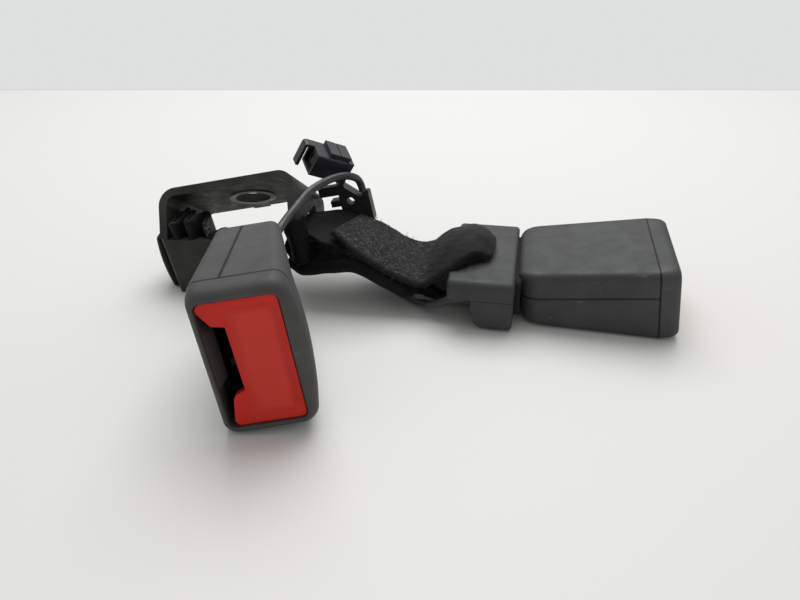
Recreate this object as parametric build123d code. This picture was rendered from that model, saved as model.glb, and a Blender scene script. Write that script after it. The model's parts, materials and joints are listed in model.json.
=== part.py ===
from build123d import *
import os
from math import tan, radians

# A twin rear seat belt buckle assembly lying on a flat surface: two push-button
# buckles on webbing straps, one steel floor bracket, and the two switch leads.
# All lengths in millimetres. The origin is on the anchor hole's axis at the
# inner face of the bracket's web, Z up.

# Buckle housing. In its own frame X runs from the tail to the mouth, Z from the
# slot side (0) to the button side, and the mouth's face is at X = 0.
mouth_width = 59.0
mouth_height = 34.7
seam_width = 60.0
seam_height = 34.0
tail_width = 53.4
tail_height = 25.8
bezel_length = 8.7
body_length = 69.2
parting_height = 12.0
corner_radius = 4.0
tail_rounding = 3.0
cover_wall = 2.4
bezel_wall = 3.0
seam_gap = 0.25

# Mouth opening, push button and tongue slot.
opening_left = 25.2
opening_right = 26.2
opening_low = 2.8
opening_high = 31.6
opening_radius = 2.6
slot_left = 16.0
slot_right = 12.6
slot_high = 11.4
button_clearance = 0.4
button_recess = 1.2
button_skin = 2.4
button_depth = 11.0
rail_width = 3.0
rail_low = 6.8
rail_high = 11.0
rail_end = 36.0

# Steel frame, latch and ejector.
sheet_thickness = 2.0
frame_front = 9.5
frame_step = 19.0
frame_rear = 66.3
frame_inner = 13.6
frame_low_height = 10.8
frame_height = 16.0
rear_inner = 21.0
tab_place = 54.0
pin_radius = 1.6
latch_pivot_x = 48.0
latch_pivot_z = 12.0
latch_tip = 21.0
latch_tooth = 3.0
latch_thickness = 2.2
latch_width = 22.0
tooth_width = 11.0
latch_low = 10.3
tooth_low = 9.2
ejector_front = 17.0
ejector_back = 29.0
ejector_bar = 4.0
ejector_width = 21.0
ejector_gap = 13.0
ejector_height = 2.7
running_gap = 0.3
stem_radius = 1.0
stem_length = 11.0
spring_wire = 0.6
spring_radius = 1.6
spring_turns = 6
button_spring_radius = 1.7
button_spring_turns = 4
button_spring_seat = 50.0
webbing_bar_x = 62.4
webbing_bar_z = 8.6
webbing_bar_radius = 2.5

# Webbing.
webbing_thickness = 3.0
webbing_width = 44.0
left_webbing_width = 36.0
folded_width = 28.0
lower_band = 8.0
bar_clearance = 0.35
strap_clearance = 0.5
strap_reach = 6.0
right_strap_y = -14.0
near_taper = (33.0, 41.0)
far_taper = (44.0, 60.0)
pinch = 9.5
left_strap_z = -15.2
left_hinge = (-9.0, -22.0)
pleat_pitch = 6.3
pleat_count = 3
pleat_radius = 3.6
pleat_y = -18.5
loop_slack = 4.7
loop_lift = 3.2
gather_top = -6.0

# Floor bracket. In the ear frame X crosses the bracket, Y is its depth and Z its
# height; the web leans back from it by web_lean.
bracket_yaw = -9.0
bracket_tilt = -12.3
web_lean = -34.2
plate = 4.0
web_left = 40.0
web_right = 31.0
web_near = 22.0
web_far = 18.0
bend_radius = 8.5
bracket_foot = -33.5
flange_front = -30.2
flange_reach = 26.0
flange_top = -5.0
flange_top_end = -9.0
bush_bore = 8.75
bush_body = 10.0
bush_flange = 11.25
bush_lip = 0.5
bar_width = 8.0
right_bar_z = -19.0
right_bar_y = -17.0
left_bar_y = -8.5

# Where the two buckles lie, as the mouth's middle on the slot side.
right_place = (198.2, -44.9, -5.0)
right_turn = (3.1, -7.4, -10.2)
left_place = (6.2, -138.9, -12.2)
left_turn = (0.0, -8.5, 3.0)

# Neck boot of the right buckle, in a frame like the housing's.
neck_length = 30.0
neck_width = 64.0
neck_height = 24.4
neck_parting = 9.0
neck_step = 11.0
neck_curve = 10.0
neck_rounding = 2.0
neck_port = 2.9
neck_port_y = 25.2
neck_port_z = 12.4
neck_port_reach = 3.0
neck_place = (129.7, -35.75, -14.9)
neck_turn = (3.1, 0.0, -10.2)

# Connector, its carrier and the leads.
carrier_front = 9.0
carrier_thickness = 6.0
carrier_shoulder = -9.5
carrier_foot = -25.0
carrier_port_x = 53.2
connector_length = 20.0
connector_width = 14.0
connector_height = 12.0
cavity_depth = 9.0
rib_height = 2.2
lock_reach = 4.0
lock_drop = 12.0
lock_thickness = 1.6
connector_place = (37.9, 5.5, 16.2)
connector_turn = (20.0, 23.0, 28.0)
lead_diameter = 3.8
grommet_radius = 3.2
grommet_reach = 4.0
grommet_side = -12.0
grommet_height = 19.5

ear = Rotation(0, 0, bracket_yaw) * Rotation(0, bracket_tilt, 0)
web = ear * Rotation(web_lean, 0, 0)


def turned(place, turn):
    roll, pitch, yaw = turn
    return Pos(*place) * Rotation(0, 0, yaw) * Rotation(0, pitch, 0) * Rotation(roll, 0, 0)


right_buckle = turned(right_place, right_turn) * Rotation(180, 0, 0)
left_buckle = turned(left_place, left_turn) * Rotation(0, 0, -90) * Rotation(-90, 0, 0)
right_neck = turned(neck_place, neck_turn) * Rotation(180, 0, 0)


def in_frame(frame, point):
    return (frame.inverse() * Pos(*point)).position


def on_buckle(frame, x, y, z):
    return (frame * Pos(x, y, z)).position


def block(x, y, z):
    """A box from three (low, high) pairs."""
    size = (x[1] - x[0], y[1] - y[0], z[1] - z[0])
    return Pos((x[0] + x[1]) / 2, (y[0] + y[1]) / 2, (z[0] + z[1]) / 2) * Box(*size)


def cross_section(x, width, height, inset, radius):
    here = Plane(origin=(x, 0, 0), x_dir=(0, 1, 0), z_dir=(1, 0, 0))
    size = (width - 2 * inset, height - 2 * inset)
    return here * Pos(0, height / 2) * RectangleRounded(*size, radius)


def housing_form(front, back, inset):
    """The tapered housing between two stations, inset all round."""
    def share(x):
        return (x - bezel_length) / (body_length - bezel_length)
    ends = []
    for x in (front, back):
        width = seam_width + (tail_width - seam_width) * share(x)
        height = seam_height + (tail_height - seam_height) * share(x)
        ends.append(cross_section(-x, width, height, inset, max(corner_radius - inset, 1.0)))
    return loft(ends)


def housing_shell():
    outer = housing_form(bezel_length + seam_gap, body_length, 0)
    outer = fillet(outer.faces().sort_by(Axis.X)[0].edges(), tail_rounding)
    inner = housing_form(bezel_length - 1, body_length - cover_wall, cover_wall)
    shell = outer - inner
    strap_half = webbing_width / 2 + strap_clearance
    strap_gap = block((-body_length - 1, -body_length + cover_wall + 1),
                      (-strap_half, strap_half), (cover_wall, cover_wall + 12.4))
    grommet_hole = Pos(-body_length, grommet_side, grommet_height) * Rotation(0, 90, 0)
    grommet_hole *= Cylinder(grommet_radius, 12)
    return shell - strap_gap - grommet_hole


def slot_side_cover(shell):
    low = block((-90, 0), (-50, 50), (-5, parting_height - seam_gap / 2))
    cover = shell & low
    for side in (-1, 1):
        cover += spring_post(side)
    return cover


def button_side_cover(shell):
    high = block((-90, 0), (-50, 50), (parting_height + seam_gap / 2, 50))
    return shell & high


def rail_middle():
    return frame_inner + sheet_thickness + 1.0 + rail_width / 2


def spring_post(side):
    """The post inside the slot-side cover that a button spring bears on."""
    middle = side * rail_middle()
    return block((-button_spring_seat - 2, -button_spring_seat), (middle - 2, middle + 2),
                 (cover_wall - 0.5, rail_high))


def mouth_bezel():
    front = cross_section(0, mouth_width, mouth_height, 0, corner_radius)
    back = cross_section(-bezel_length, seam_width, seam_height, 0, corner_radius)
    ring = loft([back, front])
    ring = fillet(ring.faces().sort_by(Axis.X)[-1].outer_wire().edges(), 1.6)
    half = seam_width / 2 - bezel_wall
    ring -= block((-bezel_length - 1, -bezel_wall), (-half, half),
                  (bezel_wall - 0.6, seam_height - bezel_wall))
    window = Pos(0, (opening_right - opening_left) / 2, (opening_high + opening_low) / 2)
    tool = Box(30, opening_left + opening_right, opening_high - opening_low)
    tool = fillet(tool.edges().filter_by(Axis.X), opening_radius)
    return ring - window * tool


def button_outline():
    """The C-shaped face of the button: a plate with the tongue slot cut from its edge."""
    c = button_clearance
    low, high = opening_low + c, opening_high - c
    left, right = -opening_left + c, opening_right - c
    points = [
        (left, low), (left + 3.0, low), (-slot_left, low + 3.6), (-slot_left + 1.0, slot_high),
        (slot_right - 1.4, slot_high + 0.4), (slot_right, low + 5.0), (slot_right + 2.0, low + 3.6),
        (right, low + 1.4), (right, high), (left, high),
    ]
    face = make_face(Polyline(*points, close=True))
    corners = [v for v in face.vertices() if abs(v.X - left) < 0.01 or abs(v.X - right) < 0.01]
    return fillet(corners, opening_radius - c)


def push_button():
    here = Plane(origin=(-button_recess - button_skin, 0, 0), x_dir=(0, 1, 0), z_dir=(1, 0, 0))
    face = extrude(here * button_outline(), button_skin)
    high = opening_high - button_clearance
    body = block((-button_recess - button_depth, -button_recess - button_skin + 0.1),
                 (-opening_left + button_clearance + 1.5, opening_right - button_clearance - 1.5),
                 (slot_high + 1.0, high - 1.5))
    hollow = block((-button_recess - button_depth - 1, -button_recess - button_skin - 1.5),
                   (-opening_left + 4.4, opening_right - 4.4), (slot_high + 3.4, high - 3.9))
    button = face + body - hollow
    for side in (-1, 1):
        middle = side * rail_middle()
        rail = block((-rail_end, -button_recess - button_skin + 0.1),
                     (middle - rail_width / 2, middle + rail_width / 2), (rail_low, rail_high))
        button += rail
    return button


def frame():
    """A steel channel: a base, two stepped walls, a rear tab and a wide tail."""
    t = sheet_thickness
    floor = cover_wall + running_gap
    shape = block((-tab_place - t, -frame_front), (-frame_inner - t, frame_inner + t), (floor, floor + t))
    for side in (-1, 1):
        inner, outer = side * frame_inner, side * (frame_inner + t)
        low, high = min(inner, outer), max(inner, outer)
        shape += block((-tab_place, -frame_front), (low, high), (floor, frame_low_height))
        shape += block((-tab_place, -frame_step), (low, high), (floor, frame_height))
        bevel = Pos(-frame_step - 2.0, (low + high) / 2, frame_height) * Rotation(0, 45, 0)
        shape -= bevel * Box(4.0, 3.0, 4.0)
        inner, outer = side * rear_inner, side * (rear_inner + t)
        low, high = min(inner, outer), max(inner, outer)
        shape += block((-frame_rear, -tab_place), (low, high), (floor, webbing_bar_z + 5.0))
    shape += block((-tab_place - t, -tab_place), (-rear_inner - t, rear_inner + t),
                   (floor, webbing_bar_z + 5.0))
    for x in (-30.0, -40.0):
        shape -= Pos(x, 9.5, floor) * Cylinder(1.4, 3 * t)
        shape -= Pos(x, -9.5, floor) * Cylinder(1.4, 3 * t)
    window = block((-28.0, -15.0), (-7.0, 7.0), (floor - 1, floor + t + 1))
    shape -= fillet(window.edges().filter_by(Axis.Z), 1.5)
    shape -= cross_pin(latch_pivot_x, latch_pivot_z, pin_radius + 0.02, 40)
    shape -= cross_pin(webbing_bar_x, webbing_bar_z, webbing_bar_radius + 0.02, 60)
    return shape


def cross_pin(x, z, radius, length):
    return Pos(-x, 0, z) * Rotation(90, 0, 0) * Cylinder(radius, length)


def latch_pin():
    """A pin with a spun head at each side of the frame."""
    half = frame_inner + sheet_thickness
    pin = cross_pin(latch_pivot_x, latch_pivot_z, pin_radius, 2 * half + 0.8)
    for side in (-1, 1):
        head = Pos(-latch_pivot_x, side * (half + 0.45), latch_pivot_z) * Rotation(90, 0, 0)
        pin += head * Cylinder(pin_radius + 0.5, 0.5)
    return pin


def webbing_bar():
    return cross_pin(webbing_bar_x, webbing_bar_z, webbing_bar_radius, 2 * (rear_inner + sheet_thickness))


def latch_plate():
    """The locking plate: a rolled knuckle on the pin, a flat blade and a down-turned tooth."""
    z = latch_low
    knuckle = cross_pin(latch_pivot_x, latch_pivot_z, pin_radius + 1.7, latch_width)
    blade = block((-latch_pivot_x, -latch_tip), (-latch_width / 2, latch_width / 2), (z, z + latch_thickness))
    tooth = block((-latch_tip - latch_tooth, -latch_tip), (-tooth_width / 2, tooth_width / 2),
                  (tooth_low, z + latch_thickness))
    shape = knuckle + blade + tooth
    for side in (-1, 1):
        shape -= block((-34.0, -latch_tip + 1), (side * 8.6 - 2.5, side * 8.6 + 2.5), (z - 3, z + 5))
    return shape - cross_pin(latch_pivot_x, latch_pivot_z, pin_radius + 0.06, 40)


def latch_spring():
    """A leaf pressed over the tab's top, bowed forward onto the latch knuckle."""
    z = latch_pivot_z + pin_radius + 1.7 + running_gap
    path = FilletPolyline((-tab_place, webbing_bar_z + 2.2), (-tab_place + 1.2, webbing_bar_z + 2.2),
                          (-tab_place + 1.2, z + 1.6), (-latch_pivot_x - 1.5, z + 1.6),
                          (-latch_pivot_x + 4.0, z + 0.3), radius=0.55)
    leaf = extrude(Plane.XZ * trace(path, line_width=0.6), 4.0, both=True)
    return leaf


def ejector():
    """A fork that the tongue pushes back, with a stem inside its spring."""
    low = cover_wall + running_gap + sheet_thickness + running_gap
    top = low + ejector_height
    half = ejector_width / 2
    shape = block((-ejector_back, -ejector_front), (-half, half), (low, top))
    shape -= block((-ejector_back + ejector_bar, -ejector_front + 1),
                   (-ejector_gap / 2, ejector_gap / 2), (low - 1, top + 1))
    shape = fillet(shape.edges().filter_by(Axis.Z).group_by(Axis.X)[-1], 0.7)
    stem = Pos(-ejector_back - stem_length / 2, 0, spring_axis()) * Rotation(0, 90, 0)
    return shape + stem * Cylinder(stem_radius, stem_length)


def spring_axis():
    return cover_wall + running_gap + sheet_thickness + spring_radius + spring_wire / 2 + 0.1


def coil(radius, wire, length, turns):
    """A compression spring along +X from the origin, of six-sided wire."""
    line = Helix(pitch=(length - wire) / turns, height=length - wire, radius=radius)
    start = line @ 0
    section = Plane(origin=start, x_dir=(1, 0, 0), z_dir=line % 0) * RegularPolygon(wire / 2, 6)
    spring = sweep(section, path=line, is_frenet=True)
    return Pos(wire / 2, 0, 0) * Rotation(0, 90, 0) * spring


def ejector_spring():
    length = tab_place - ejector_back
    return Pos(-tab_place, 0, spring_axis()) * coil(spring_radius, spring_wire, length, spring_turns)


def button_springs():
    length = button_spring_seat - rail_end
    spring = coil(button_spring_radius, spring_wire, length, button_spring_turns)
    middle = (rail_low + rail_high) / 2
    pair = []
    for side in (-1, 1):
        pair.append(Pos(-button_spring_seat, side * rail_middle(), middle) * spring)
    return Compound(children=pair)


def switch_housing():
    """The belt switch beside the frame, with its plunger toward the rail."""
    case = block((-65.5, -57.0), (grommet_side - 4.0, grommet_side + 5.0), (16.6, 23.0))
    case = fillet(case.edges().filter_by(Axis.Z), 1.0)
    return case + block((-57.0, -55.8), (grommet_side - 2.0, grommet_side + 2.0), (18.0, 20.5))


def lead_grommet():
    """A grooved rubber sleeve in the tail wall, which the lead comes out of."""
    length = grommet_reach + cover_wall
    sleeve = Cylinder(grommet_radius - 0.02, length)
    groove = Cylinder(grommet_radius + 1, 0.7) - Cylinder(grommet_radius - 0.6, 0.7)
    for place in (0.8, 2.2):
        sleeve -= Pos(0, 0, place - length / 2) * groove
    middle = -body_length + cover_wall - length / 2
    return Pos(middle, grommet_side, grommet_height) * Rotation(0, 90, 0) * sleeve


def floor_bracket():
    """The U of plate with its two ears, bent from one blank."""
    tall = 16.0
    outer = Rectangle(web_left + web_right, tall + plate)
    outer = fillet(outer.vertices().group_by(Axis.Y)[-1], bend_radius)
    inner = Rectangle(web_left + web_right - 2 * plate, tall)
    inner = fillet(inner.vertices().group_by(Axis.Y)[-1], bend_radius - plate)
    middle = (web_right - web_left) / 2
    profile = Pos(middle, (plate - tall) / 2) * outer - Pos(middle, -tall / 2) * inner
    channel = extrude(Plane.XZ * profile, -(web_near + web_far))
    channel = web * Pos(0, -web_near, 0) * channel
    shape = channel + ear * left_ear() + ear * right_ear()
    behind = ear * block((-web_left - 5, -web_left + 14), (left_bar_y + bar_width / 2, 40), (-60, 40))
    shape -= behind & web * block((-60, 0), (-60, 60), (-80, plate - bend_radius))
    loop_top = bracket_foot + loop_lift + folded_width + 0.5
    shape -= ear * block((-web_left - 5, -web_left + 14), (left_bar_y + bar_width / 2, 0.6), (-60, loop_top))
    shape -= ear * left_slot()
    shape -= ear * right_slot()
    shape -= web * Cylinder(bush_body + 0.02, 30)
    for across in (-4.0, 18.0):
        shape += web * Pos(across, web_far + 1.0, plate / 2) * Box(9.0, 2.4, plate)
    return shape


def ear_wall(points, x):
    """A flat wall of plate from (Y, Z) points, its outer face at x."""
    wall = extrude(Plane.YZ * make_face(Polyline(*points, close=True)), plate)
    return Pos(x, 0, 0) * wall


def left_ear():
    far = left_bar_y + bar_width / 2
    points = [(-22.0, 6.5), (flange_front, flange_top), (flange_front, bracket_foot),
              (far, bracket_foot), (far, -4.0)]
    wall = ear_wall(points, -web_left)
    reach = [(-web_left, bracket_foot), (-web_left + flange_reach, bracket_foot),
             (-web_left + flange_reach, flange_top_end), (-web_left, flange_top)]
    flange = extrude(Plane.XZ * make_face(Polyline(*reach, close=True)), -plate)
    flange = Pos(0, flange_front, 0) * flange
    shape = wall + flange
    corner = shape.edges().filter_by(Axis.Z).filter_by(lambda e: abs(e.center().X + web_left) < 0.1)
    corner = corner.sort_by(Axis.Y)[0]
    shape = fillet(corner, 2.5)
    free = shape.edges().filter_by(Axis.Y).filter_by(lambda e: e.center().X > -web_left + flange_reach - 1)
    return fillet(free, 3.0)


def right_ear():
    low = right_bar_z - bar_width / 2
    points = [(-22.0, 6.5), (-35.5, -13.0), (-35.5, low + 3.0), (-33.0, low), (2.0, low),
              (6.0, low + 4.0), (10.5, -15.5)]
    return ear_wall(points, web_right - plate)


def left_slot():
    near = left_bar_y - bar_width / 2
    low = bracket_foot + loop_lift - 1.0
    high = low + folded_width + 2.0
    tool = block((-web_left - 5, -web_left + 14), (near - 10.0, near), (low, high))
    return fillet(tool.edges().filter_by(Axis.X), 2.0)


def right_slot():
    low = right_bar_z + bar_width / 2
    half = folded_width / 2 + 1.5
    tool = block((web_right - 10, web_right + 5), (right_bar_y - half, right_bar_y + half), (low, low + 6.5))
    return fillet(tool.edges().filter_by(Axis.X), 2.0)


def anchor_bush():
    """A pressed bush that lines the anchor hole, lipped over both faces."""
    body = Cylinder(bush_body, plate + 2 * bush_lip)
    for side in (-1, 1):
        body += Pos(0, 0, side * (plate + bush_lip) / 2) * Cylinder(bush_flange, bush_lip)
    body -= Cylinder(bush_bore, plate + 3)
    return web * Pos(0, 0, plate / 2) * body


def band(points, radius, thickness):
    return trace(FilletPolyline(*points, radius=radius), line_width=thickness)


def across(sketch, middle, half):
    """Push a side-view sketch (X, Z) out to both sides of a depth."""
    return Pos(0, middle, 0) * extrude(Plane.XZ * sketch, half, both=True)


def upright(sketch, middle, width):
    """Push a plan-view sketch (X, Y) up and down from a height."""
    return Pos(0, 0, middle) * extrude(sketch, width / 2, both=True)


def strap_exit(frame):
    """Where the strap leaves the buckle's tail, in the ear frame."""
    return in_frame(ear, on_buckle(frame, -body_length - strap_reach, 0, webbing_bar_z))


def strap_end(width):
    """The sewn eye round the webbing bar and the run out of the tail, in the housing's frame."""
    inner = webbing_bar_radius + bar_clearance
    run = block((-body_length - strap_reach, -webbing_bar_x), (-width / 2, width / 2),
                (webbing_bar_z - webbing_thickness, webbing_bar_z + webbing_thickness))
    shape = run + cross_pin(webbing_bar_x, webbing_bar_z, inner + webbing_thickness, width)
    return shape - cross_pin(webbing_bar_x, webbing_bar_z, inner, width + 10)


def loop_inner():
    """The inner radius that clears the corners of an ear's bar."""
    return (bar_width ** 2 + plate ** 2) ** 0.5 / 2 + bar_clearance


def right_upper_path():
    middle = loop_inner() + webbing_thickness / 2
    x, z = web_right - plate / 2, right_bar_z
    return [(x - middle, z), (x - middle, z + middle), (x + 3.5, z + middle), (40.0, -15.0), (50.5, -20.5),
            (65.0, -31.0), (74.0, -38.5), (84.0, -42.7), (96.0, -37.4), (107.0, -37.2), (112.5, -40.2),
            (117.0, -47.5)]


def right_lower_path():
    middle = loop_inner() + webbing_thickness / 2
    x, z = web_right - plate / 2, right_bar_z
    end = strap_exit(right_buckle)
    return [(x - middle, z), (x - middle, z - middle), (x + 3.0, z - middle), (40.0, -29.3), (55.0, -29.3),
            (82.0, -45.8), (93.0, -57.2), (106.0, -57.2), (end.X - 5.0, end.Z - 0.4), (end.X + 0.5, end.Z)]


def right_strap():
    """The folded webbing: a loop on the ear's bar, a sewn run and two tails into the neck."""
    t = webbing_thickness
    upper, lower = right_upper_path(), right_lower_path()
    ring = loop_inner() + t / 2
    narrow = band(upper[:4], ring - 0.01, t) + band(lower[:4], ring - 0.01, t)
    shape = across(narrow, right_bar_y, folded_width / 2)
    shape += across(band(upper[2:], 4.0, t), right_strap_y, webbing_width / 2)
    padded = across(band(lower[3:7], 5.0, lower_band), right_strap_y, webbing_width / 2)
    padded += across(band(lower[6:], 4.0, 2 * t), right_strap_y + 2.0, webbing_width / 2 - 2.0)
    shape += padded - neck_entry_trim()
    shape += ear.inverse() * right_buckle * strap_end(webbing_width - 4.0)
    for side in (-1, 1):
        shape -= side_trim(side)
    return shape


def neck_entry_trim():
    """What the near edge of the lower run loses as it narrows into the neck."""
    wide = right_strap_y - webbing_width / 2
    points = [(74.0, wide - 1.0), (74.0, wide), (80.0, wide + pinch), (97.0, wide + pinch),
              (101.0, wide + 4.0), (130.0, wide + 4.0), (130.0, wide - 1.0)]
    return extrude(make_face(Polyline(*points, close=True)), 80, both=True)


def side_trim(side):
    """What the fold takes off one long edge of the strap toward the ear."""
    folded = right_bar_y + side * folded_width / 2
    wide = right_strap_y + side * (webbing_width / 2 + 0.5)
    start, stop = far_taper if side > 0 else near_taper
    out = side * 80
    points = [(0, out), (stop, out), (stop, wide), (start, folded), (0, folded)]
    return extrude(make_face(Polyline(*points, close=True)), 80, both=True)


def neck_form():
    here = Plane(origin=(0, 0, 0), x_dir=(0, 1, 0), z_dir=(1, 0, 0))
    section = here * Pos(0, neck_height / 2) * RectangleRounded(neck_width, neck_height, corner_radius)
    shape = extrude(section, -neck_length)
    ends = shape.faces().sort_by(Axis.X)[0].edges() + shape.faces().sort_by(Axis.X)[-1].edges()
    return fillet(ends, neck_rounding)


def upper_room():
    """The space over the neck's middle that the upper webbing needs."""
    upper = right_upper_path()
    drop = (upper[-1][0] + 0.6, upper[-1][1] - 1.5)
    sketch = band(upper[7:11] + [drop], 4.5, webbing_thickness + 2 * strap_clearance)
    return ear * across(sketch, right_strap_y, webbing_width / 2 + strap_clearance)


def lower_room():
    """The channel through the neck for the lower webbing, up to the buckle's tail."""
    c = strap_clearance
    lower = right_lower_path()
    sketch = band(lower[6:], 4.9, 2 * webbing_thickness + 2 * c + 0.6)
    channel = ear * across(sketch, right_strap_y + 2.0, webbing_width / 2 - 1.5 + c)
    half = webbing_width / 2 + 0.7
    tail = block((-body_length - strap_reach - 1.0, -body_length + 1.0), (-half, half),
                 (webbing_bar_z - webbing_thickness - 2 * c, webbing_bar_z + webbing_thickness + 2 * c))
    return channel + right_buckle * tail


def neck_halves():
    """The boot in two halves, with channels for the webbing and a port for the lead."""
    form = neck_form()
    top = form & block((-neck_length - 1, 1), (-40, 40), (-1, neck_parting - seam_gap / 2))
    side = Rectangle(neck_length - neck_step + 1.0, neck_height - neck_parting - seam_gap / 2)
    side = fillet(side.vertices().group_by(Axis.Y)[-1].sort_by(Axis.X)[0], neck_curve)
    side = Pos((1.0 - neck_length + neck_step) / 2, (neck_height + neck_parting + seam_gap / 2) / 2) * side
    lower = form & across(side, 0, 40)
    port = Pos(-neck_length + neck_step, neck_port_y, neck_port_z) * Rotation(0, 90, 0)
    lower -= port * Cylinder(neck_port, 9.0)
    return right_neck * top - upper_room() - lower_room(), right_neck * lower - lower_room()


def neck_grommet():
    """The rubber sleeve in the neck's stepped end, which takes the second lead."""
    sleeve = Cylinder(neck_port - 0.02, 4.5 + neck_port_reach)
    middle = -neck_length + neck_step + (4.5 - neck_port_reach) / 2
    return Pos(middle, neck_port_y, neck_port_z) * Rotation(0, 90, 0) * sleeve


def left_strap():
    """The short strap from the fold beside the flange to the left buckle."""
    end = strap_exit(left_buckle)
    path = [left_hinge, (end.X - 2.2, end.Y + 7.0), (end.X, end.Y - 0.5)]
    run = band(path, 5.0, 2 * webbing_thickness) + Pos(*left_hinge) * Circle(webbing_thickness)
    run += Pos(end.X, end.Y) * Circle(webbing_thickness)
    shape = upright(run, left_strap_z, left_webbing_width)
    high = left_strap_z + left_webbing_width / 2
    rise = end.Y + 16.0
    climb = [(5.0, gather_top), (rise, gather_top), (end.Y + 2.0, high), (end.Y + 2.0, high + 1.0),
             (5.0, high + 1.0)]
    shape -= extrude(Plane.YZ * make_face(Polyline(*climb, close=True)), 60, both=True)
    return shape + ear.inverse() * left_buckle * strap_end(left_webbing_width)


def left_strap_loop():
    """The webbing loop through the left ear, bunched in pleats behind the flange."""
    t = webbing_thickness
    x, y = -web_left + plate / 2, left_bar_y
    ring = loop_oval(x, y, loop_inner() + t) - loop_oval(x, y, loop_inner())
    low = bracket_foot + loop_lift + folded_width / 2
    shape = upright(ring, low, folded_width)
    start = x + loop_inner() + 0.5
    first = start + pleat_pitch / 2
    bunch = band([(start, y), (first, pleat_y), (left_hinge[0] - 5.0, pleat_y), left_hinge], 4.0, 2 * t)
    for step in range(pleat_count):
        bunch += Pos(first + step * pleat_pitch, pleat_y) * Circle(pleat_radius)
    bunch -= loop_oval(x, y, loop_inner() + t / 2)
    bunch -= Pos(*left_hinge) * Circle(t + running_gap)
    shape += upright(bunch, left_strap_z, left_webbing_width)
    high = left_strap_z + left_webbing_width / 2
    falls = [(-24.0, high + 1.0), (-24.0, high), (left_hinge[0] - 3.0, gather_top), (0.0, gather_top),
             (0.0, high + 1.0)]
    return shape - across(make_face(Polyline(*falls, close=True)), 0, 60)


def loop_oval(x, y, radius):
    """The loop hangs slack on the outer side of the ear's bar."""
    return Pos(x - loop_slack / 2, y) * SlotCenterToCenter(loop_slack, 2 * radius)


def connector_carrier():
    """A plastic carrier on the right ear: an arm, a pierced plate and a saddle for the plug."""
    y = (carrier_front, carrier_front + carrier_thickness)
    body = block((41.0, 50.5), y, (carrier_foot, -4.0))
    body += block((50.0, 56.5), y, (carrier_foot, carrier_shoulder))
    body = fillet(body.edges().filter_by(Axis.Y), 0.8)
    arm = block((web_right, 42.0), (y[0], y[0] + 4.0), (-9.0, -4.0))
    tab = block((36.0, 42.0), y, (-15.0, -11.8))
    saddle = block((43.5, 49.0), y, (-5.0, 9.0))
    shape = body + arm + tab + saddle
    shape -= Pos(46.5, y[0], -13.0) * Rotation(90, 0, 0) * Cylinder(2.0, 20)
    return ear * shape - plug_room()


def plug_room():
    """The space that the plug takes over its saddle."""
    l, w, h = connector_length, connector_width, connector_height
    body = Pos(0, 0, 10) * Box(l + 20, w + 20, h + 20)
    collar = Pos(l / 2 - 2.0, 0, 0) * Box(3.4, w + 6, h + 1.8)
    return connector_frame() * (body + collar)


def connector_frame():
    return turned(connector_place, connector_turn)


def connector_housing():
    """The plug's body: a box with raised ribs, a collar and an open mating end."""
    l, w, h = connector_length, connector_width, connector_height
    body = Box(l, w, h)
    body = fillet(body.edges().filter_by(Axis.X), 0.8)
    for place in (-0.5, 5.6):
        body += Pos(place, 0.8, h / 2 + rib_height / 2 - 0.1) * Box(5.6, w - 2.4, rib_height)
    body += Pos(l / 2 - 2.0, 0, 0) * Box(3.0, w + 1.8, h + 1.8)
    body -= Pos(-l / 2 + cavity_depth / 2, 0, 0) * Box(cavity_depth, w - 2.6, h - 2.6)
    return connector_frame() * body


def connector_lock():
    """The sprung L-shaped latch arm on the plug."""
    end, top = -connector_length / 2, (connector_height - lock_thickness) / 2
    corner = (end - lock_reach, top)
    path = FilletPolyline((end, top), corner, (end - lock_reach, top - lock_drop), radius=1.0)
    arm = extrude(Plane.XZ * trace(path, line_width=lock_thickness), 2.5, both=True)
    return connector_frame() * Pos(0, connector_width / 2 - 3.2, 0) * arm


def contact_block():
    """The terminal insert that shows in the plug's mouth."""
    l, w, h = connector_length, connector_width, connector_height
    depth = cavity_depth - 2.0
    core = Pos(-l / 2 + cavity_depth - depth / 2, 0, 0) * Box(depth, w - 3.2, h - 3.2)
    for place in (-1, 1):
        core -= Pos(-l / 2 + 3.0, place * 2.6, 0) * Box(5.0, 1.8, 3.0)
    return connector_frame() * core


def tube(points, name):
    """A lead of straight runs joined by tangent arcs."""
    corners = [Vector(*p) for p in points]
    runs = [b - a for a, b in zip(corners, corners[1:])]
    radii = []
    for first, second in zip(runs, runs[1:]):
        half_turn = radians(first.get_angle(second)) / 2
        radii.append(0.45 * min(first.length, second.length) / tan(half_turn))
    path = FilletPolyline(*points, radius=radii)
    section = Plane(origin=path @ 0, z_dir=path % 0) * Circle(lead_diameter / 2)
    solid = sweep(section, path=path)
    expected = 3.14159 * (lead_diameter / 2) ** 2 * path.length
    print(name, "length", round(path.length, 1), "volume ratio", round(solid.volume / expected, 4),
          "radii", [round(r, 1) for r in radii])
    return solid


def carrier_port(height):
    """A point on the line of the carrier's two lead ports."""
    return (ear * Pos(carrier_port_x, carrier_front + carrier_thickness / 2, height)).position


def left_lead():
    out = on_buckle(left_buckle, -body_length - grommet_reach, grommet_side, grommet_height)
    clear = on_buckle(left_buckle, -body_length - grommet_reach - 7.0, grommet_side, grommet_height)
    above, end = carrier_port(carrier_shoulder + 5.5), carrier_port(carrier_shoulder)
    points = [tuple(out), tuple(clear), (21.6, -46.5, 4.2), (26.4, -34.5, 7.9),
              (31.0, -23.6, 11.2), (38.0, -14.0, 13.0), (44.6, -6.6, 13.2), (50.2, -1.6, 11.6),
              tuple(above), tuple(end)]
    return tube(points, "left_lead")


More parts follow.
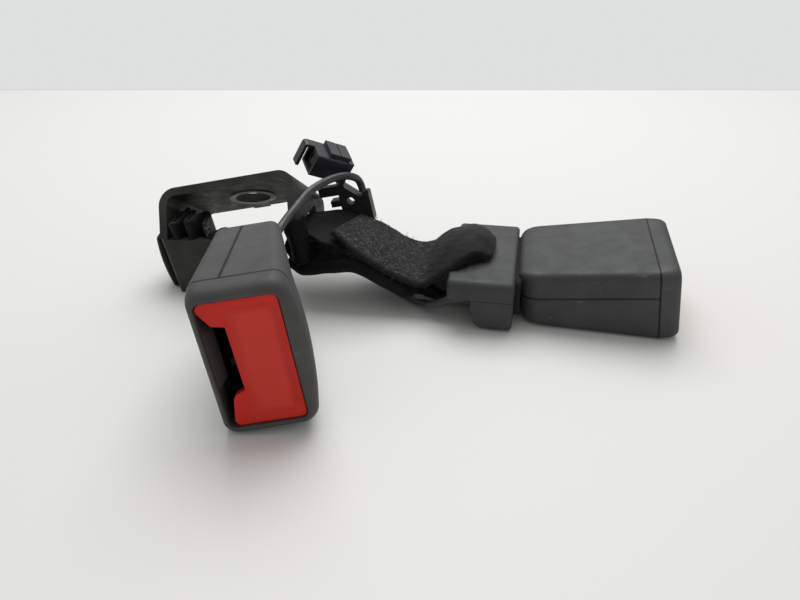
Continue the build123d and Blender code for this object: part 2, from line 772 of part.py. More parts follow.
def right_lead():
    start, below = carrier_port(carrier_foot), carrier_port(carrier_foot - 6.0)
    step = -neck_length + neck_step - neck_port_reach
    clear = on_buckle(right_neck, step - 6.5, neck_port_y, neck_port_z)
    end = on_buckle(right_neck, step, neck_port_y, neck_port_z)
    points = [tuple(start), tuple(below), (61.0, -4.0, -29.5), (65.5, -14.0, -35.5), (71.0, -24.0, -38.6),
              (78.5, -36.0, -38.6), (84.5, -45.0, -36.6), (90.0, -52.5, -33.6), tuple(clear), tuple(end)]
    return tube(points, "right_lead")


def build_buckle(side, place, parts):
    shell = housing_shell()
    parts[side + "_slot_side_cover"] = place * slot_side_cover(shell)
    parts[side + "_button_side_cover"] = place * button_side_cover(shell)
    parts[side + "_mouth_bezel"] = place * mouth_bezel()
    parts[side + "_push_button"] = place * push_button()
    parts[side + "_frame"] = place * frame()
    parts[side + "_latch_plate"] = place * latch_plate()
    parts[side + "_latch_pin"] = place * latch_pin()
    parts[side + "_latch_spring"] = place * latch_spring()
    parts[side + "_ejector"] = place * ejector()
    parts[side + "_ejector_spring"] = place * ejector_spring()
    parts[side + "_button_springs"] = place * button_springs()
    parts[side + "_webbing_bar"] = place * webbing_bar()
    parts[side + "_switch_housing"] = place * switch_housing()


def main():
    os.makedirs("parts", exist_ok=True)
    parts = {}
    build_buckle("left", left_buckle, parts)
    build_buckle("right", right_buckle, parts)
    parts["left_lead_grommet"] = left_buckle * lead_grommet()
    parts["right_lead_grommet"] = right_neck * neck_grommet()
    parts["right_strap"] = ear * right_strap()
    parts["left_strap"] = ear * left_strap()
    parts["left_strap_loop"] = ear * left_strap_loop()
    parts["right_neck_upper"], parts["right_neck_lower"] = neck_halves()
    parts["anchor_bracket"] = floor_bracket()
    parts["anchor_bush"] = anchor_bush()
    parts["connector_carrier"] = connector_carrier()
    parts["connector_housing"] = connector_housing()
    parts["connector_lock"] = connector_lock()
    parts["contact_block"] = contact_block()
    parts["left_lead"] = left_lead()
    parts["right_lead"] = right_lead()
    for name, shape in parts.items():
        export_step(shape, "parts/" + name + ".step")


main()
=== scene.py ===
import bmesh
import bpy
import json
import numpy as np
from math import cos, radians, sin
from mathutils import Matrix, Vector


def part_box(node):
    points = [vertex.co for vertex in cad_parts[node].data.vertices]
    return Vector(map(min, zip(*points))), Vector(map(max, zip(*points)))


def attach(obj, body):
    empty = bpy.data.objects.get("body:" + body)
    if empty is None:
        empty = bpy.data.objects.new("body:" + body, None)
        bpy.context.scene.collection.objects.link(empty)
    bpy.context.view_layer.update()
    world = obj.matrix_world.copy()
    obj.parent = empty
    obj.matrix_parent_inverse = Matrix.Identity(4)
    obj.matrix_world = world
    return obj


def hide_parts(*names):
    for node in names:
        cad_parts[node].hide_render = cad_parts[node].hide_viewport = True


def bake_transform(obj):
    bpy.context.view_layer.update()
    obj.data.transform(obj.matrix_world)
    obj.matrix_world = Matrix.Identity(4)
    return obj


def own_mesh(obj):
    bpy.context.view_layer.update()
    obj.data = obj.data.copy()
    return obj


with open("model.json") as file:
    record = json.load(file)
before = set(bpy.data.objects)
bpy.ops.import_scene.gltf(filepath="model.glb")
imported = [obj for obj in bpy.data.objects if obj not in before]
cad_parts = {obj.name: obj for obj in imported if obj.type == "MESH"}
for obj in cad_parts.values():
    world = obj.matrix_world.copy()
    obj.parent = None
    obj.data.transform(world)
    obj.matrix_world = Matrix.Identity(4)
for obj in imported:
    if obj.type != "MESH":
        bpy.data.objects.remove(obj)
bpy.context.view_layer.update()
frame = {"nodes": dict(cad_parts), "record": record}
nodes = frame["nodes"]
print("frame loaded,", len(nodes), "nodes")

fullTurn, quarterTurn = 6.28318, 1.5708  # in radians

# camera, floor and light; the origin is on the anchor bore, so the floor is below it
view = {
    "place": (0.0741, -0.34819, 0.12857),
    "tilt": 61.671,  # degrees up from straight down
    "lens": 32.757,
    "sensor": 36.0,
    "floorHeight": -0.0413,
    "tableHalf": 3.0,
    "tableNear": -2.5,
    "tableEnd": 0.4346,  # far edge of the table top
    "lip": 0.012,
    "lipDrop": 0.002,
    "tableRough": 0.55,
    "tableColour": (0.79, 0.79, 0.77),
    "lipColour": (0.56, 0.57, 0.56),
    "wallColour": (0.735, 0.75, 0.745),
    "lampPlace": (0.12, 0.46, 1.0),
    "lampTurn": (-0.40, 0.06, 0),
    "lampSize": 1.0,
    "lampPower": 10.6,
    "skyStrength": 0.475,
}


def addObject(name, data):
    thing = bpy.data.objects.new(name, data)
    bpy.context.scene.collection.objects.link(thing)
    return thing


def makeCamera():
    data = bpy.data.cameras.new("camera")
    data.lens = view["lens"]
    data.sensor_width = view["sensor"]
    camera = addObject("camera", data)
    camera.location = view["place"]
    camera.rotation_euler = (radians(view["tilt"]), 0, 0)
    bpy.context.scene.camera = camera


makeCamera()

# where each housing lies: the mouth's middle in metres, and its turns in degrees in the
# order they are made; in the housing's frame X runs to the mouth and Z from the slot side
housings = {
    "left": {
        "place": (0.0062, -0.1389, -0.0122),
        "turns": [("Z", 3.0), ("Y", -8.5), ("Z", -90.0), ("X", -90.0)],
    },
    "right": {
        "place": (0.1982, -0.0449, -0.0050),
        "turns": [("Z", -10.2), ("Y", -7.4), ("X", 183.1)],
    },
    "neck": {
        "place": (0.1297, -0.03575, -0.0149),
        "turns": [("Z", -10.2), ("X", 183.1)],
    },
}


def housingTurn(name):
    turn = Matrix.Identity(3)
    for axis, angle in housings[name]["turns"]:
        turn = turn @ Matrix.Rotation(radians(angle), 3, axis)
    return turn


# points in metres in the shared frame, as millimetres in a housing's own, and back
def toHousing(points, name):
    return (points - np.array(housings[name]["place"])) @ np.array(housingTurn(name)) * 1000


def fromHousing(points, name):
    return points / 1000 @ np.array(housingTurn(name)).T + np.array(housings[name]["place"])


# a value that eases from one level to another between two places
def ease(x, start, stop, first=0.0, last=1.0):
    t = np.clip((x - start) / (stop - start), 0, 1)
    return first + (last - first) * t * t * (3 - 2 * t)


# a base level and the eased changes that follow it, each (start, stop, first, last)
def profile(x, base, *changes):
    for change in changes:
        base = base + ease(x, *change)
    return base


# shader building: one line per node
def newMaterial(name, colour, rough, metal=0.0, specular=0.5):
    material = bpy.data.materials.new(name)
    material.use_nodes = True
    shader = material.node_tree.nodes["Principled BSDF"]
    shader.inputs["Base Color"].default_value = (*colour, 1)
    shader.inputs["Roughness"].default_value = rough
    shader.inputs["Metallic"].default_value = metal
    shader.inputs["Specular IOR Level"].default_value = specular
    return material, material.node_tree, shader


def node(tree, kind, values=None, **links):
    made = tree.nodes.new(kind)
    for key, value in (values or {}).items():
        if key in made.inputs:
            made.inputs[key].default_value = value
        else:
            setattr(made, key, value)
    for key, source in links.items():
        tree.links.new(source, made.inputs[key.replace("_", " ")])
    return made


def paint(tree, shader, tone, rough):
    tree.links.new(tone, shader.inputs["Base Color"])
    tree.links.new(rough, shader.inputs["Roughness"])


# a socket takes a link from another socket, a colour or a number
def feed(tree, socket, value):
    if isinstance(value, bpy.types.NodeSocket):
        tree.links.new(value, socket)
    else:
        socket.default_value = (*value, 1) if isinstance(value, tuple) else value


def objectPoint(tree, scale=(1, 1, 1), turn=(0, 0, 0)):
    source = node(tree, "ShaderNodeTexCoord").outputs["Object"]
    values = {"Scale": scale, "Rotation": [radians(a) for a in turn]}
    return node(tree, "ShaderNodeMapping", values, Vector=source).outputs["Vector"]


# the shading point in a housing's own frame, in metres
def housingPoint(tree, name):
    back = housingTurn(name).transposed()
    shift = -(back @ Vector(housings[name]["place"]))
    source = node(tree, "ShaderNodeTexCoord").outputs["Object"]
    values = {"Location": shift, "Rotation": back.to_euler("XYZ")}
    mapped = node(tree, "ShaderNodeMapping", values, Vector=source).outputs["Vector"]
    return node(tree, "ShaderNodeSeparateXYZ", None, Vector=mapped).outputs


# 0 to 1 between two levels of a value
def step(tree, value, low, high, how="SMOOTHSTEP"):
    values = {"interpolation_type": how, "From Min": low, "From Max": high, "To Min": 0.0, "To Max": 1.0}
    return node(tree, "ShaderNodeMapRange", values, Value=value).outputs["Result"]


def noise(tree, point, scale, detail=3.0, rough=0.55):
    values = {"Scale": scale, "Detail": detail, "Roughness": rough}
    return node(tree, "ShaderNodeTexNoise", values, Vector=point).outputs["Fac"]


# one shade below the first level of a value, the other above the second
def ramp(tree, value, levels, shades=(0.0, 1.0)):
    made = node(tree, "ShaderNodeValToRGB", None, Fac=value)
    for element, level, shade in zip(made.color_ramp.elements, levels, shades):
        element.position = level
        element.color = (shade, shade, shade, 1)
    return made.outputs["Color"]


def blotches(tree, point, scale, detail, levels, shades=(0.0, 1.0), rough=0.55):
    return ramp(tree, noise(tree, point, scale, detail, rough), levels, shades)


def mix(tree, share, first, second, how="MIX"):
    made = node(tree, "ShaderNodeMix", {"data_type": "RGBA", "blend_type": how})
    for place, value in ((0, share), (6, first), (7, second)):
        feed(tree, made.inputs[place], value)
    return made.outputs[2]


def sums(tree, how, first, second=0.0, third=0.0):
    made = node(tree, "ShaderNodeMath", {"operation": how})
    for socket, value in zip(made.inputs, (first, second, third)):
        feed(tree, socket, value)
    return made.outputs[0]


def times(tree, first, *others):
    for other in others:
        first = sums(tree, "MULTIPLY", first, other)
    return first


def relief(tree, shader, height, depth, after=None):
    made = node(tree, "ShaderNodeBump", {"Distance": depth, "Strength": 1.0}, Height=height)
    if after is not None:
        tree.links.new(after, made.inputs["Normal"])
    tree.links.new(made.outputs["Normal"], shader.inputs["Normal"])
    return made.outputs["Normal"]


# the cosine between the surface's normal and another direction
def facing(tree, other):
    made = node(tree, "ShaderNodeVectorMath", {"operation": "DOT_PRODUCT"})
    tree.links.new(node(tree, "ShaderNodeNewGeometry").outputs["Normal"], made.inputs[0])
    if isinstance(other, bpy.types.NodeSocket):
        tree.links.new(other, made.inputs[1])
    else:
        made.inputs[1].default_value = other
    return made.outputs["Value"]


# how far a surface turns within a small radius: 0 on flats, 1 on worn edges
def edges(tree, radius, low, high):
    soft = node(tree, "ShaderNodeBevel", {"Radius": radius, "samples": 6}).outputs["Normal"]
    return step(tree, facing(tree, soft), 1.0 - low, 1.0 - high, "LINEAR")


# painted shade along the housing's seam lines, in metres in its own frame
seamShadeLook = {
    "partingZ": 0.012,
    "bezelX": -0.00882,
    "behindX": (-0.0086, -0.0090),  # the parting line is only behind the bezel
    "wide": {"left": 0.0010, "right": 0.0008},
    "core": 0.4,  # the share of the width that is fully dark
    # the colour of the painted shade
    "colour": (0.004, 0.004, 0.004),
}


# painted shade mask: 1 at the parting line and at the bezel's back edge
def seamShadeMask(tree, side):
    place = housingPoint(tree, side)
    wide = seamShadeLook["wide"][side]
    offs = [sums(tree, "SUBTRACT", place["Z"], seamShadeLook["partingZ"]),
            sums(tree, "SUBTRACT", place["X"], seamShadeLook["bezelX"])]
    parting, rim = (step(tree, sums(tree, "ABSOLUTE", off), wide, seamShadeLook["core"] * wide) for off in offs)
    behind = step(tree, place["X"], *seamShadeLook["behindX"])
    return sums(tree, "MAXIMUM", times(tree, parting, behind), rim)


# in each look below, blotches are given as scale, detail, levels, shades and roughness
plastic = {
    "specular": 0.55,
    "dust": (38.0, 4.0, (0.42, 0.68), (0.0, 0.45)),
    "streaks": ((60, 900, 400), (20, 35, 15)),
    "streakLevels": (0.66, 0.70),
    "patches": (55.0, 2.0, (0.5, 0.62)),
    "scuffGain": 2.2,
    "scuffLift": 0.03,
    "worn": (120.0, 3.0, (0.3, 0.7)),
    "wornBy": (-0.07, 0.09),
}


# moulded plastic: fine grain, faint dust, pale scuffs and hairline scratches, and for a housing side painted
# shade along its seam lines
def mouldedPlastic(name, colour, pale, rough, grain=1500.0, depth=0.00004, scuff=0.35, side=None):
    material, tree, shader = newMaterial(name, colour, rough, 0.0, plastic["specular"])
    point = objectPoint(tree)
    tone = mix(tree, blotches(tree, point, *plastic["dust"]), colour, pale)
    streaks = noise(tree, objectPoint(tree, *plastic["streaks"]), 1.0, 2.0)
    lines = ramp(tree, streaks, plastic["streakLevels"], (0.0, scuff))
    lines = times(tree, lines, blotches(tree, point, *plastic["patches"]))
    scuffed = tuple(min(1.0, c * plastic["scuffGain"] + plastic["scuffLift"]) for c in pale)
    tone = mix(tree, lines, tone, scuffed)
    if side:
        # painted shade: the seam lines are darkened
        tone = mix(tree, seamShadeMask(tree, side), tone, seamShadeLook["colour"])
    shades = [rough + change for change in plastic["wornBy"]]
    paint(tree, shader, tone, blotches(tree, point, *plastic["worn"], shades))
    relief(tree, shader, noise(tree, point, grain, 1.5, 0.6), depth)
    return material


# the button's thumb face in its housing's frame, in metres, and its looks
thumb = {
    "middleY": 0.0005,
    "ends": (0.0243, 0.0185),
    "lowZ": (0.0100, 0.0165),
    "highZ": (0.0312, 0.0265),
    "depth": 0.0020,
    "paleness": 0.9,
    "rough": 0.42,
    "specular": 0.25,
    "cloud": (60.0, 4.0, (0.35, 0.75), (0.0, 0.25)),
    "worn": (110.0, 3.0, (0.3, 0.7), (0.36, 0.50)),
    "grain": (1300.0, 1.5, 0.6),
    "grainDepth": 0.00002,
}


# red push button: a dished thumb face inside a raised border, glossier where it is handled; the dish is
# painted lighter and the border darker, as painted shading of the dish's relief
def buttonPlastic(name, colour, pale, side):
    material, tree, shader = newMaterial(name, colour, thumb["rough"], 0.0, thumb["specular"])
    point, place = objectPoint(tree), housingPoint(tree, side)
    off = sums(tree, "ABSOLUTE", sums(tree, "SUBTRACT", place["Y"], thumb["middleY"]))
    dish = times(tree, step(tree, off, *thumb["ends"]), step(tree, place["Z"], *thumb["lowZ"]),
                 step(tree, place["Z"], *thumb["highZ"]))
    cloud = blotches(tree, point, *thumb["cloud"])
    # painted light: the dish gets the paler red and the border the darker red, together with a random cloud
    tone = mix(tree, sums(tree, "MAXIMUM", times(tree, dish, thumb["paleness"]), cloud), colour, pale)
    paint(tree, shader, tone, blotches(tree, point, *thumb["worn"]))
    dished = relief(tree, shader, sums(tree, "SUBTRACT", 1.0, dish), thumb["depth"])
    relief(tree, shader, noise(tree, point, *thumb["grain"]), thumb["grainDepth"], dished)
    return material


sheet = {
    "lines": ((30, 900, 900), (10, 20, 0)),
    "lineLevels": (0.3, 0.7),
    "lineDepth": 0.00001,
    "cloud": (140.0, 4.0, (0.35, 0.7)),
    "wornBy": (-0.08, 0.16),
}


# plain or plated steel: rolled lines and blotches of a duller tone
def sheetSteel(name, colour, dull, rough):
    material, tree, shader = newMaterial(name, colour, rough, 1.0)
    rolled = noise(tree, objectPoint(tree, *sheet["lines"]), 1.0, 3.0)
    cloud = blotches(tree, objectPoint(tree), *sheet["cloud"])
    shades = [rough + change for change in sheet["wornBy"]]
    paint(tree, shader, mix(tree, cloud, colour, dull), ramp(tree, rolled, sheet["lineLevels"], shades))
    relief(tree, shader, rolled, sheet["lineDepth"])
    return material


coat = {
    "rough": 0.42,
    "specular": 0.3,
    "cloud": (45.0, 5.0, (0.38, 0.66)),
    "soot": (0.010, 0.009, 0.008),
    "sootLevels": (0.90, 0.96),
    "sootShare": 0.6,
    "sootSpecular": (-0.11, 0.16),
    "edges": (0.0007, 0.05, 0.35),
    "fine": (420.0, 4.0, 0.7),
    "fineShare": 1.6,
    "spots": (210.0, 3.0, (0.70, 0.74), (0.0, 1.0), 0.65),
    "bareLevels": (0.62, 0.74),
    "bareMetal": 0.9,
    "worn": (160.0, 3.0, (0.3, 0.7), (0.33, 0.58)),
    "orange": (700.0, 3.0),
    "orangeDepth": 0.00005,
    "chipDepth": 0.00006,
}


# dark coating chipped to bright metal along its edges, with painted shade and a lower specular level on
# faces turned the shaded way
def wornCoat(name, colour, warm, bare, wear, shadedWay=None):
    material, tree, shader = newMaterial(name, colour, coat["rough"], 0.0, coat["specular"])
    point = objectPoint(tree)
    tone = mix(tree, blotches(tree, point, *coat["cloud"]), colour, warm)
    if shadedWay:
        # painted shade: faces turned this way are darkened and shine less
        shadeMask = step(tree, facing(tree, shadedWay), *coat["sootLevels"])
        tone = mix(tree, times(tree, shadeMask, coat["sootShare"]), tone, coat["soot"])
        shine = sums(tree, "MULTIPLY_ADD", shadeMask, *coat["sootSpecular"])
        feed(tree, shader.inputs["Specular IOR Level"], shine)
    fine = times(tree, sums(tree, "SUBTRACT", noise(tree, point, *coat["fine"]), 0.5), coat["fineShare"])
    chipped = sums(tree, "ADD", times(tree, edges(tree, *coat["edges"]), wear), fine)
    spots = blotches(tree, point, *coat["spots"])
    bareShare = ramp(tree, sums(tree, "MAXIMUM", chipped, spots), coat["bareLevels"])
    paint(tree, shader, mix(tree, bareShare, tone, bare), blotches(tree, point, *coat["worn"]))
    feed(tree, shader.inputs["Metallic"], times(tree, bareShare, coat["bareMetal"]))
    skin = relief(tree, shader, noise(tree, point, *coat["orange"]), coat["orangeDepth"])
    relief(tree, shader, sums(tree, "SUBTRACT", 1.0, bareShare), coat["chipDepth"], skin)
    return material


rubber = {
    "dust": (90.0, 4.0, (0.4, 0.7), (0.0, 0.8)),
    "worn": (260.0, 2.0, (0.3, 0.7)),
    "wornBy": (-0.08, 0.1),
    "grain": (800.0, 2.0),
    "grainDepth": 0.00002,
}


# soft rubber, cable sheath or thread
def sheath(name, colour, pale, rough):
    material, tree, shader = newMaterial(name, colour, rough)
    point = objectPoint(tree)
    tone = mix(tree, blotches(tree, point, *rubber["dust"]), colour, pale)
    shades = [rough + change for change in rubber["wornBy"]]
    paint(tree, shader, tone, blotches(tree, point, *rubber["worn"], shades))
    relief(tree, shader, noise(tree, point, *rubber["grain"]), rubber["grainDepth"])
    return material


weave = {
    "specular": 0.1,
    "sheen": 0.04,
    "sheenRough": 0.4,
    "pitch": 0.0011,  # across the webbing, in metres
    "alongShare": 0.8,
    "warpHeight": 0.6,
    "weftHeight": 0.3,
    "depth": 0.00016,
    "shadeGain": 0.35,
    "shadeBase": 0.62,
    "dust": (60.0, 5.0, (0.40, 0.72), (0.0, 1.0), 0.65),
    "dustShare": 0.6,
    "hair": (1900.0, 2.0, (0.55, 0.72), (0.0, 1.0), 0.8),
    "stitchScale": (900.0, 1300.0, 1.0),
    "stitchTurn": (0, 0, 0.5),
    "stitchLevels": (0.1, 0.62),
    "stitchDepth": 0.00035,
    "bright": (520.0, 3.0, (0.46, 0.64), (0.0, 1.0), 0.7),
    "brightShare": 0.8,
    "sewnShare": 0.75,
    "fuzz": (1400.0, 3.0, 0.7),
    "fuzzDepth": 0.00010,
}


# woven webbing on the piece's own map: u along the strap and v across it, in metres;
# where the attribute sewn is 1 the face is worn and covered in short bright stitches; on the left folds' end
# the same look is painted light
def webbing(name, colour, pale, stitch, fuzz, rough):
    material, tree, shader = newMaterial(name, colour, rough, 0.0, weave["specular"])
    shader.inputs["Sheen Weight"].default_value = weave["sheen"]
    shader.inputs["Sheen Roughness"].default_value = weave["sheenRough"]
    uv = node(tree, "ShaderNodeUVMap", {"uv_map": "along"}).outputs["UV"]
    parts = node(tree, "ShaderNodeSeparateXYZ", None, Vector=uv)
    turn = fullTurn / weave["pitch"]
    # warp: the sine across the strap; weft: the sine along it, shifted by each warp's side
    warp = sums(tree, "SINE", times(tree, parts.outputs["Y"], turn))
    shift = times(tree, sums(tree, "SIGN", warp), quarterTurn)
    along = times(tree, parts.outputs["X"], turn * weave["alongShare"])
    weft = sums(tree, "SINE", sums(tree, "ADD", along, shift))
    height = sums(tree, "ADD", times(tree, sums(tree, "ABSOLUTE", warp), weave["warpHeight"]),
                  times(tree, weft, weave["weftHeight"]))
    point = objectPoint(tree)
    dusty = blotches(tree, point, *weave["dust"])
    hair = blotches(tree, point, *weave["hair"])
    tone = mix(tree, times(tree, dusty, weave["dustShare"]), colour, pale)
    tone = mix(tree, times(tree, hair, fuzz), tone, pale)
    # painted shade: the weave's low parts are darker
    low = sums(tree, "MULTIPLY_ADD", height, weave["shadeGain"], weave["shadeBase"])
    shade = node(tree, "ShaderNodeCombineColor", None, Red=low, Green=low, Blue=low).outputs["Color"]
    tone = mix(tree, 1.0, tone, shade, "MULTIPLY")
    sewn = node(tree, "ShaderNodeAttribute", {"attribute_name": "sewn"}).outputs["Fac"]
    values = {"Scale": weave["stitchScale"], "Rotation": weave["stitchTurn"]}
    grid = node(tree, "ShaderNodeMapping", values, Vector=uv).outputs["Vector"]
    cells = node(tree, "ShaderNodeTexVoronoi", {"Scale": 1.0}, Vector=grid).outputs["Distance"]
    bead = ramp(tree, cells, weave["stitchLevels"], (1.0, 0.0))
    shine = times(tree, bead, blotches(tree, point, *weave["bright"]), sewn)
    tone = mix(tree, times(tree, sewn, weave["sewnShare"]), tone, mix(tree, bead, colour, pale))
    tone = mix(tree, times(tree, shine, weave["brightShare"]), tone, stitch)
    feed(tree, shader.inputs["Base Color"], tone)
    woven = relief(tree, shader, height, weave["depth"])
    stitched = relief(tree, shader, times(tree, bead, sewn), weave["stitchDepth"], woven)
    relief(tree, shader, noise(tree, point, *weave["fuzz"]), weave["fuzzDepth"], stitched)
    return material


# colour, paler dust, roughness and grain of each housing's mouldings
mouldings = {
    "left": {
        "housing": ((0.042, 0.042, 0.041), (0.076, 0.075, 0.073), 0.60),
        "bezel": ((0.044, 0.042, 0.041), (0.080, 0.077, 0.075), 0.60, 1700.0, 0.00003, 0.25),
    },
    "right": {
        "housing": ((0.026, 0.028, 0.028), (0.050, 0.053, 0.052), 0.56),
        "bezel": ((0.028, 0.030, 0.030), (0.056, 0.059, 0.058), 0.56, 1700.0, 0.00003, 0.25),
    },
}
# the button's red, and a paler red for its random cloud and for the painted light in its dish
buttonReds = ((0.60, 0.018, 0.010), (0.62, 0.040, 0.025))
# the bracket's faces turned this way get painted shade
shadedFacing = (0.13, -0.56, -0.82)  # the bracket's web faces this way

finishes = {
    "steel": sheetSteel("dark_steel", (0.018, 0.017, 0.017), (0.010, 0.010, 0.009), 0.5),
    "spring_steel": sheetSteel("spring_steel", (0.20, 0.20, 0.20), (0.12, 0.12, 0.11), 0.38),
    "bracket": wornCoat(
        "bracket_coat", (0.028, 0.027, 0.024), (0.056, 0.053, 0.047), (0.40, 0.39, 0.37), 0.55, shadedFacing),
    "bush": wornCoat("bush_coat", (0.014, 0.012, 0.010), (0.030, 0.025, 0.021), (0.55, 0.54, 0.50), 0.95),
    "carrier": mouldedPlastic(
        "carrier_plastic", (0.009, 0.009, 0.010), (0.022, 0.022, 0.024), 0.46, 1600.0, 0.00003, 0.4),
    "plug": mouldedPlastic(
        "plug_plastic", (0.013, 0.014, 0.018), (0.046, 0.049, 0.058), 0.42, 1600.0, 0.00002, 0.5),
    "contacts": mouldedPlastic("insert_plastic", (0.014, 0.014, 0.016), (0.035, 0.035, 0.038), 0.45),
    # near-black finish for the block in the gap between neck and housing: painted shade
    "joint": mouldedPlastic("joint_dark", (0.002, 0.002, 0.002), (0.005, 0.005, 0.005), 0.85),
    "fork": mouldedPlastic("fork_plastic", (0.020, 0.020, 0.019), (0.036, 0.035, 0.033), 0.5),
    "neck": mouldedPlastic(
        "neck_plastic", (0.026, 0.028, 0.028), (0.052, 0.055, 0.054), 0.58, 1400.0, 0.00005),
    "lead": sheath("lead_sheath", (0.026, 0.026, 0.030), (0.058, 0.058, 0.062), 0.40),
    "grommet": sheath("grommet_rubber", (0.010, 0.010, 0.011), (0.026, 0.026, 0.027), 0.6),
    "thread": sheath("loose_thread", (0.012, 0.012, 0.014), (0.05, 0.05, 0.056), 0.6),
    "webbing": webbing(
        "belt_smooth", (0.005, 0.005, 0.006), (0.020, 0.020, 0.021), (0.2, 0.19, 0.18), 0.12, 0.5),
    "beltSewn": webbing(
        "belt_sewn", (0.010, 0.010, 0.010), (0.062, 0.058, 0.056), (0.25, 0.23, 0.22), 0.3, 0.55),
    # a lighter copy of the webbing for the left folds: its lighter colours are painted highlight on the
    # folds
    "beltFolds": webbing(
        "belt_folds", (0.010, 0.010, 0.013), (0.060, 0.060, 0.068), (0.34, 0.34, 0.34), 0.1, 0.36),
}
for side, parts in mouldings.items():
    for part, looks in parts.items():
        finishes[part + side.capitalize()] = mouldedPlastic(part + "_" + side, *looks, side=side)
    finishes["button" + side.capitalize()] = buttonPlastic("button_" + side, *buttonReds, side)


def dress():
    slots = {part["node"]: part["material_slot"] for part in frame["record"]["subparts"]}
    for name, thing in nodes.items():
        finish = slots[name]
        if finish in ("housing", "bezel", "button"):
            finish += name.split("_")[0].capitalize()
        thing.data.materials.clear()
        thing.data.materials.append(finishes[finish])


dress()
print("finishes on")


# four-sided faces between closed loops of points of one size; joined closes the last loop
# on the first, and flip turns the faces over
def loopFaces(count, size, joined=False, flip=False):
    row, col = np.meshgrid(np.arange(count if joined else count - 1), np.arange(size), indexing="ij")
    down, turn = (row + 1) % count, (col + 1) % size
    faces = np.stack([row * size + col, down * size + col, down * size + turn, row * size + turn], axis=-1)
    return faces.reshape(-1, 4)[:, [0, 3, 2, 1] if flip else [0, 1, 2, 3]]


# loopFaces with a cap on the first and the last loop, as lists
def closedFaces(count, size, flip=False):
    first, last = list(range(size)), list(range((count - 1) * size, count * size))
    caps = [first[::-1], last] if flip else [first, last[::-1]]
    return loopFaces(count, size, flip=flip).tolist() + caps


# points in metres; outward turns the faces to the outside of the form
def makeMesh(name, points, faces, finish, outward=True):
    mesh = bpy.data.meshes.new(name)
    mesh.from_pydata(points.tolist(), [], faces)
    if outward:
        form = bmesh.new()
        form.from_mesh(mesh)
        bmesh.ops.recalc_face_normals(form, faces=form.faces)
        form.to_mesh(mesh)
        form.free()
    mesh.materials.append(finishes[finish])
    return mesh


# all faces smooth, apart from edges sharper than an angle in degrees where one is given
def smoothen(mesh, sharp=None):
    mesh.polygons.foreach_set("use_smooth", np.ones(len(mesh.polygons), bool))
    if sharp:
        mesh.set_sharp_from_angle(angle=radians(sharp))


def meshPoints(mesh):
    points = np.empty(3 * len(mesh.vertices), np.float32)
    mesh.vertices.foreach_get("co", points)
    return points.reshape(-1, 3)


def addPiece(name, mesh, body, stands=()):
    thing = addObject(name, mesh)
    if isinstance(body, tuple):
        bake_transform(thing)
    else:
        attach(thing, body)
    if stands:
        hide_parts(*stands)
    return thing


# housing skins, in the housing's own frame and millimetres
skins = {
    "bulge": {"left": 3.3, "right": 0.0},  # how far the button side swells beyond the solid
    "bulgeAlong": (-64.0, -14.0),
    "bulgeHalf": 29.8,
    "bulgeFoot": 14.0,
    "bulgeRise": 18.0,
    "bodyLength": 60.5,
    "half": (30.0, 3.3),  # at the bezel, and how much less at the tail
    "middle": (17.0, 4.1),
    "tailStart": -60.0,
    "tailRadius": 10.2,
    "tailDrop": 0.3,
    # levels of the planes that cut the covers finely, as (axis, levels)
    "cuts": [(0, (-66, -63.5, -60, -50, -40, -30, -20, -12)),
             (0, (-68.6, -67.6, -65, -62)),
             (1, (-26, -23, -20, -15, -10, -5, 0, 5, 10, 15, 20, 23, 26)),
             (2, (16, 20, 24, 28))],
    "coverSharp": 34,
    "mouth": (29.5, 34.7, 6.0),  # the bezel's half width, height, corner radius
    "back": (30.0, 34.0, 4.0),
    "bezelBack": -8.7,
    "window": (-25.2, 26.2, 2.8, 31.6, 2.6),
    # the bezel's loops from the outside round the rim: share of the way to the window, and X
    "rows": [(0.0, -8.7), (0.0, -7.0), (0.0, -5.4), (0.01, -4.2), (0.05, -3.1), (0.13, -2.1),
             (0.25, -1.25), (0.42, -0.55), (0.6, -0.15), (0.78, 0.0), (0.9, -0.1), (0.98, -0.45),
             (1.0, -1.0), (1.0, -3.0), (1.0, -8.5)],
    "bezelSharp": 40,
    "ramp": [(-1.3, 2.6), (-3.0, 3.4), (-5.0, 4.2), (-6.8, 4.9), (-8.6, 5.3), (-8.6, 2.3), (-1.3, 2.3)],
    "rampSides": (-15.7, 12.2),
    "rampSteps": 24,
    "rampEnd": (1.0, 4.5),  # its height eases from outside each end to inside it
    "rampSharp": 50,
}


# how far the button side swells: a parabola across the width, growing towards the mouth
def swell(side, x, y, z):
    across = np.clip(1 - (y / skins["bulgeHalf"])**2, 0, 1)
    up = np.clip((z - skins["bulgeFoot"]) / skins["bulgeRise"], 0, 1)**2
    return skins["bulge"][side] * (ease(x, *skins["bulgeAlong"]) * across * up)


# a quarter circle's sagitta: how far the surface falls back at a distance past its start
def fallBack(distance, radius):
    d = np.clip(distance, 0, 0.94 * radius)
    return radius - np.sqrt(radius**2 - d**2)


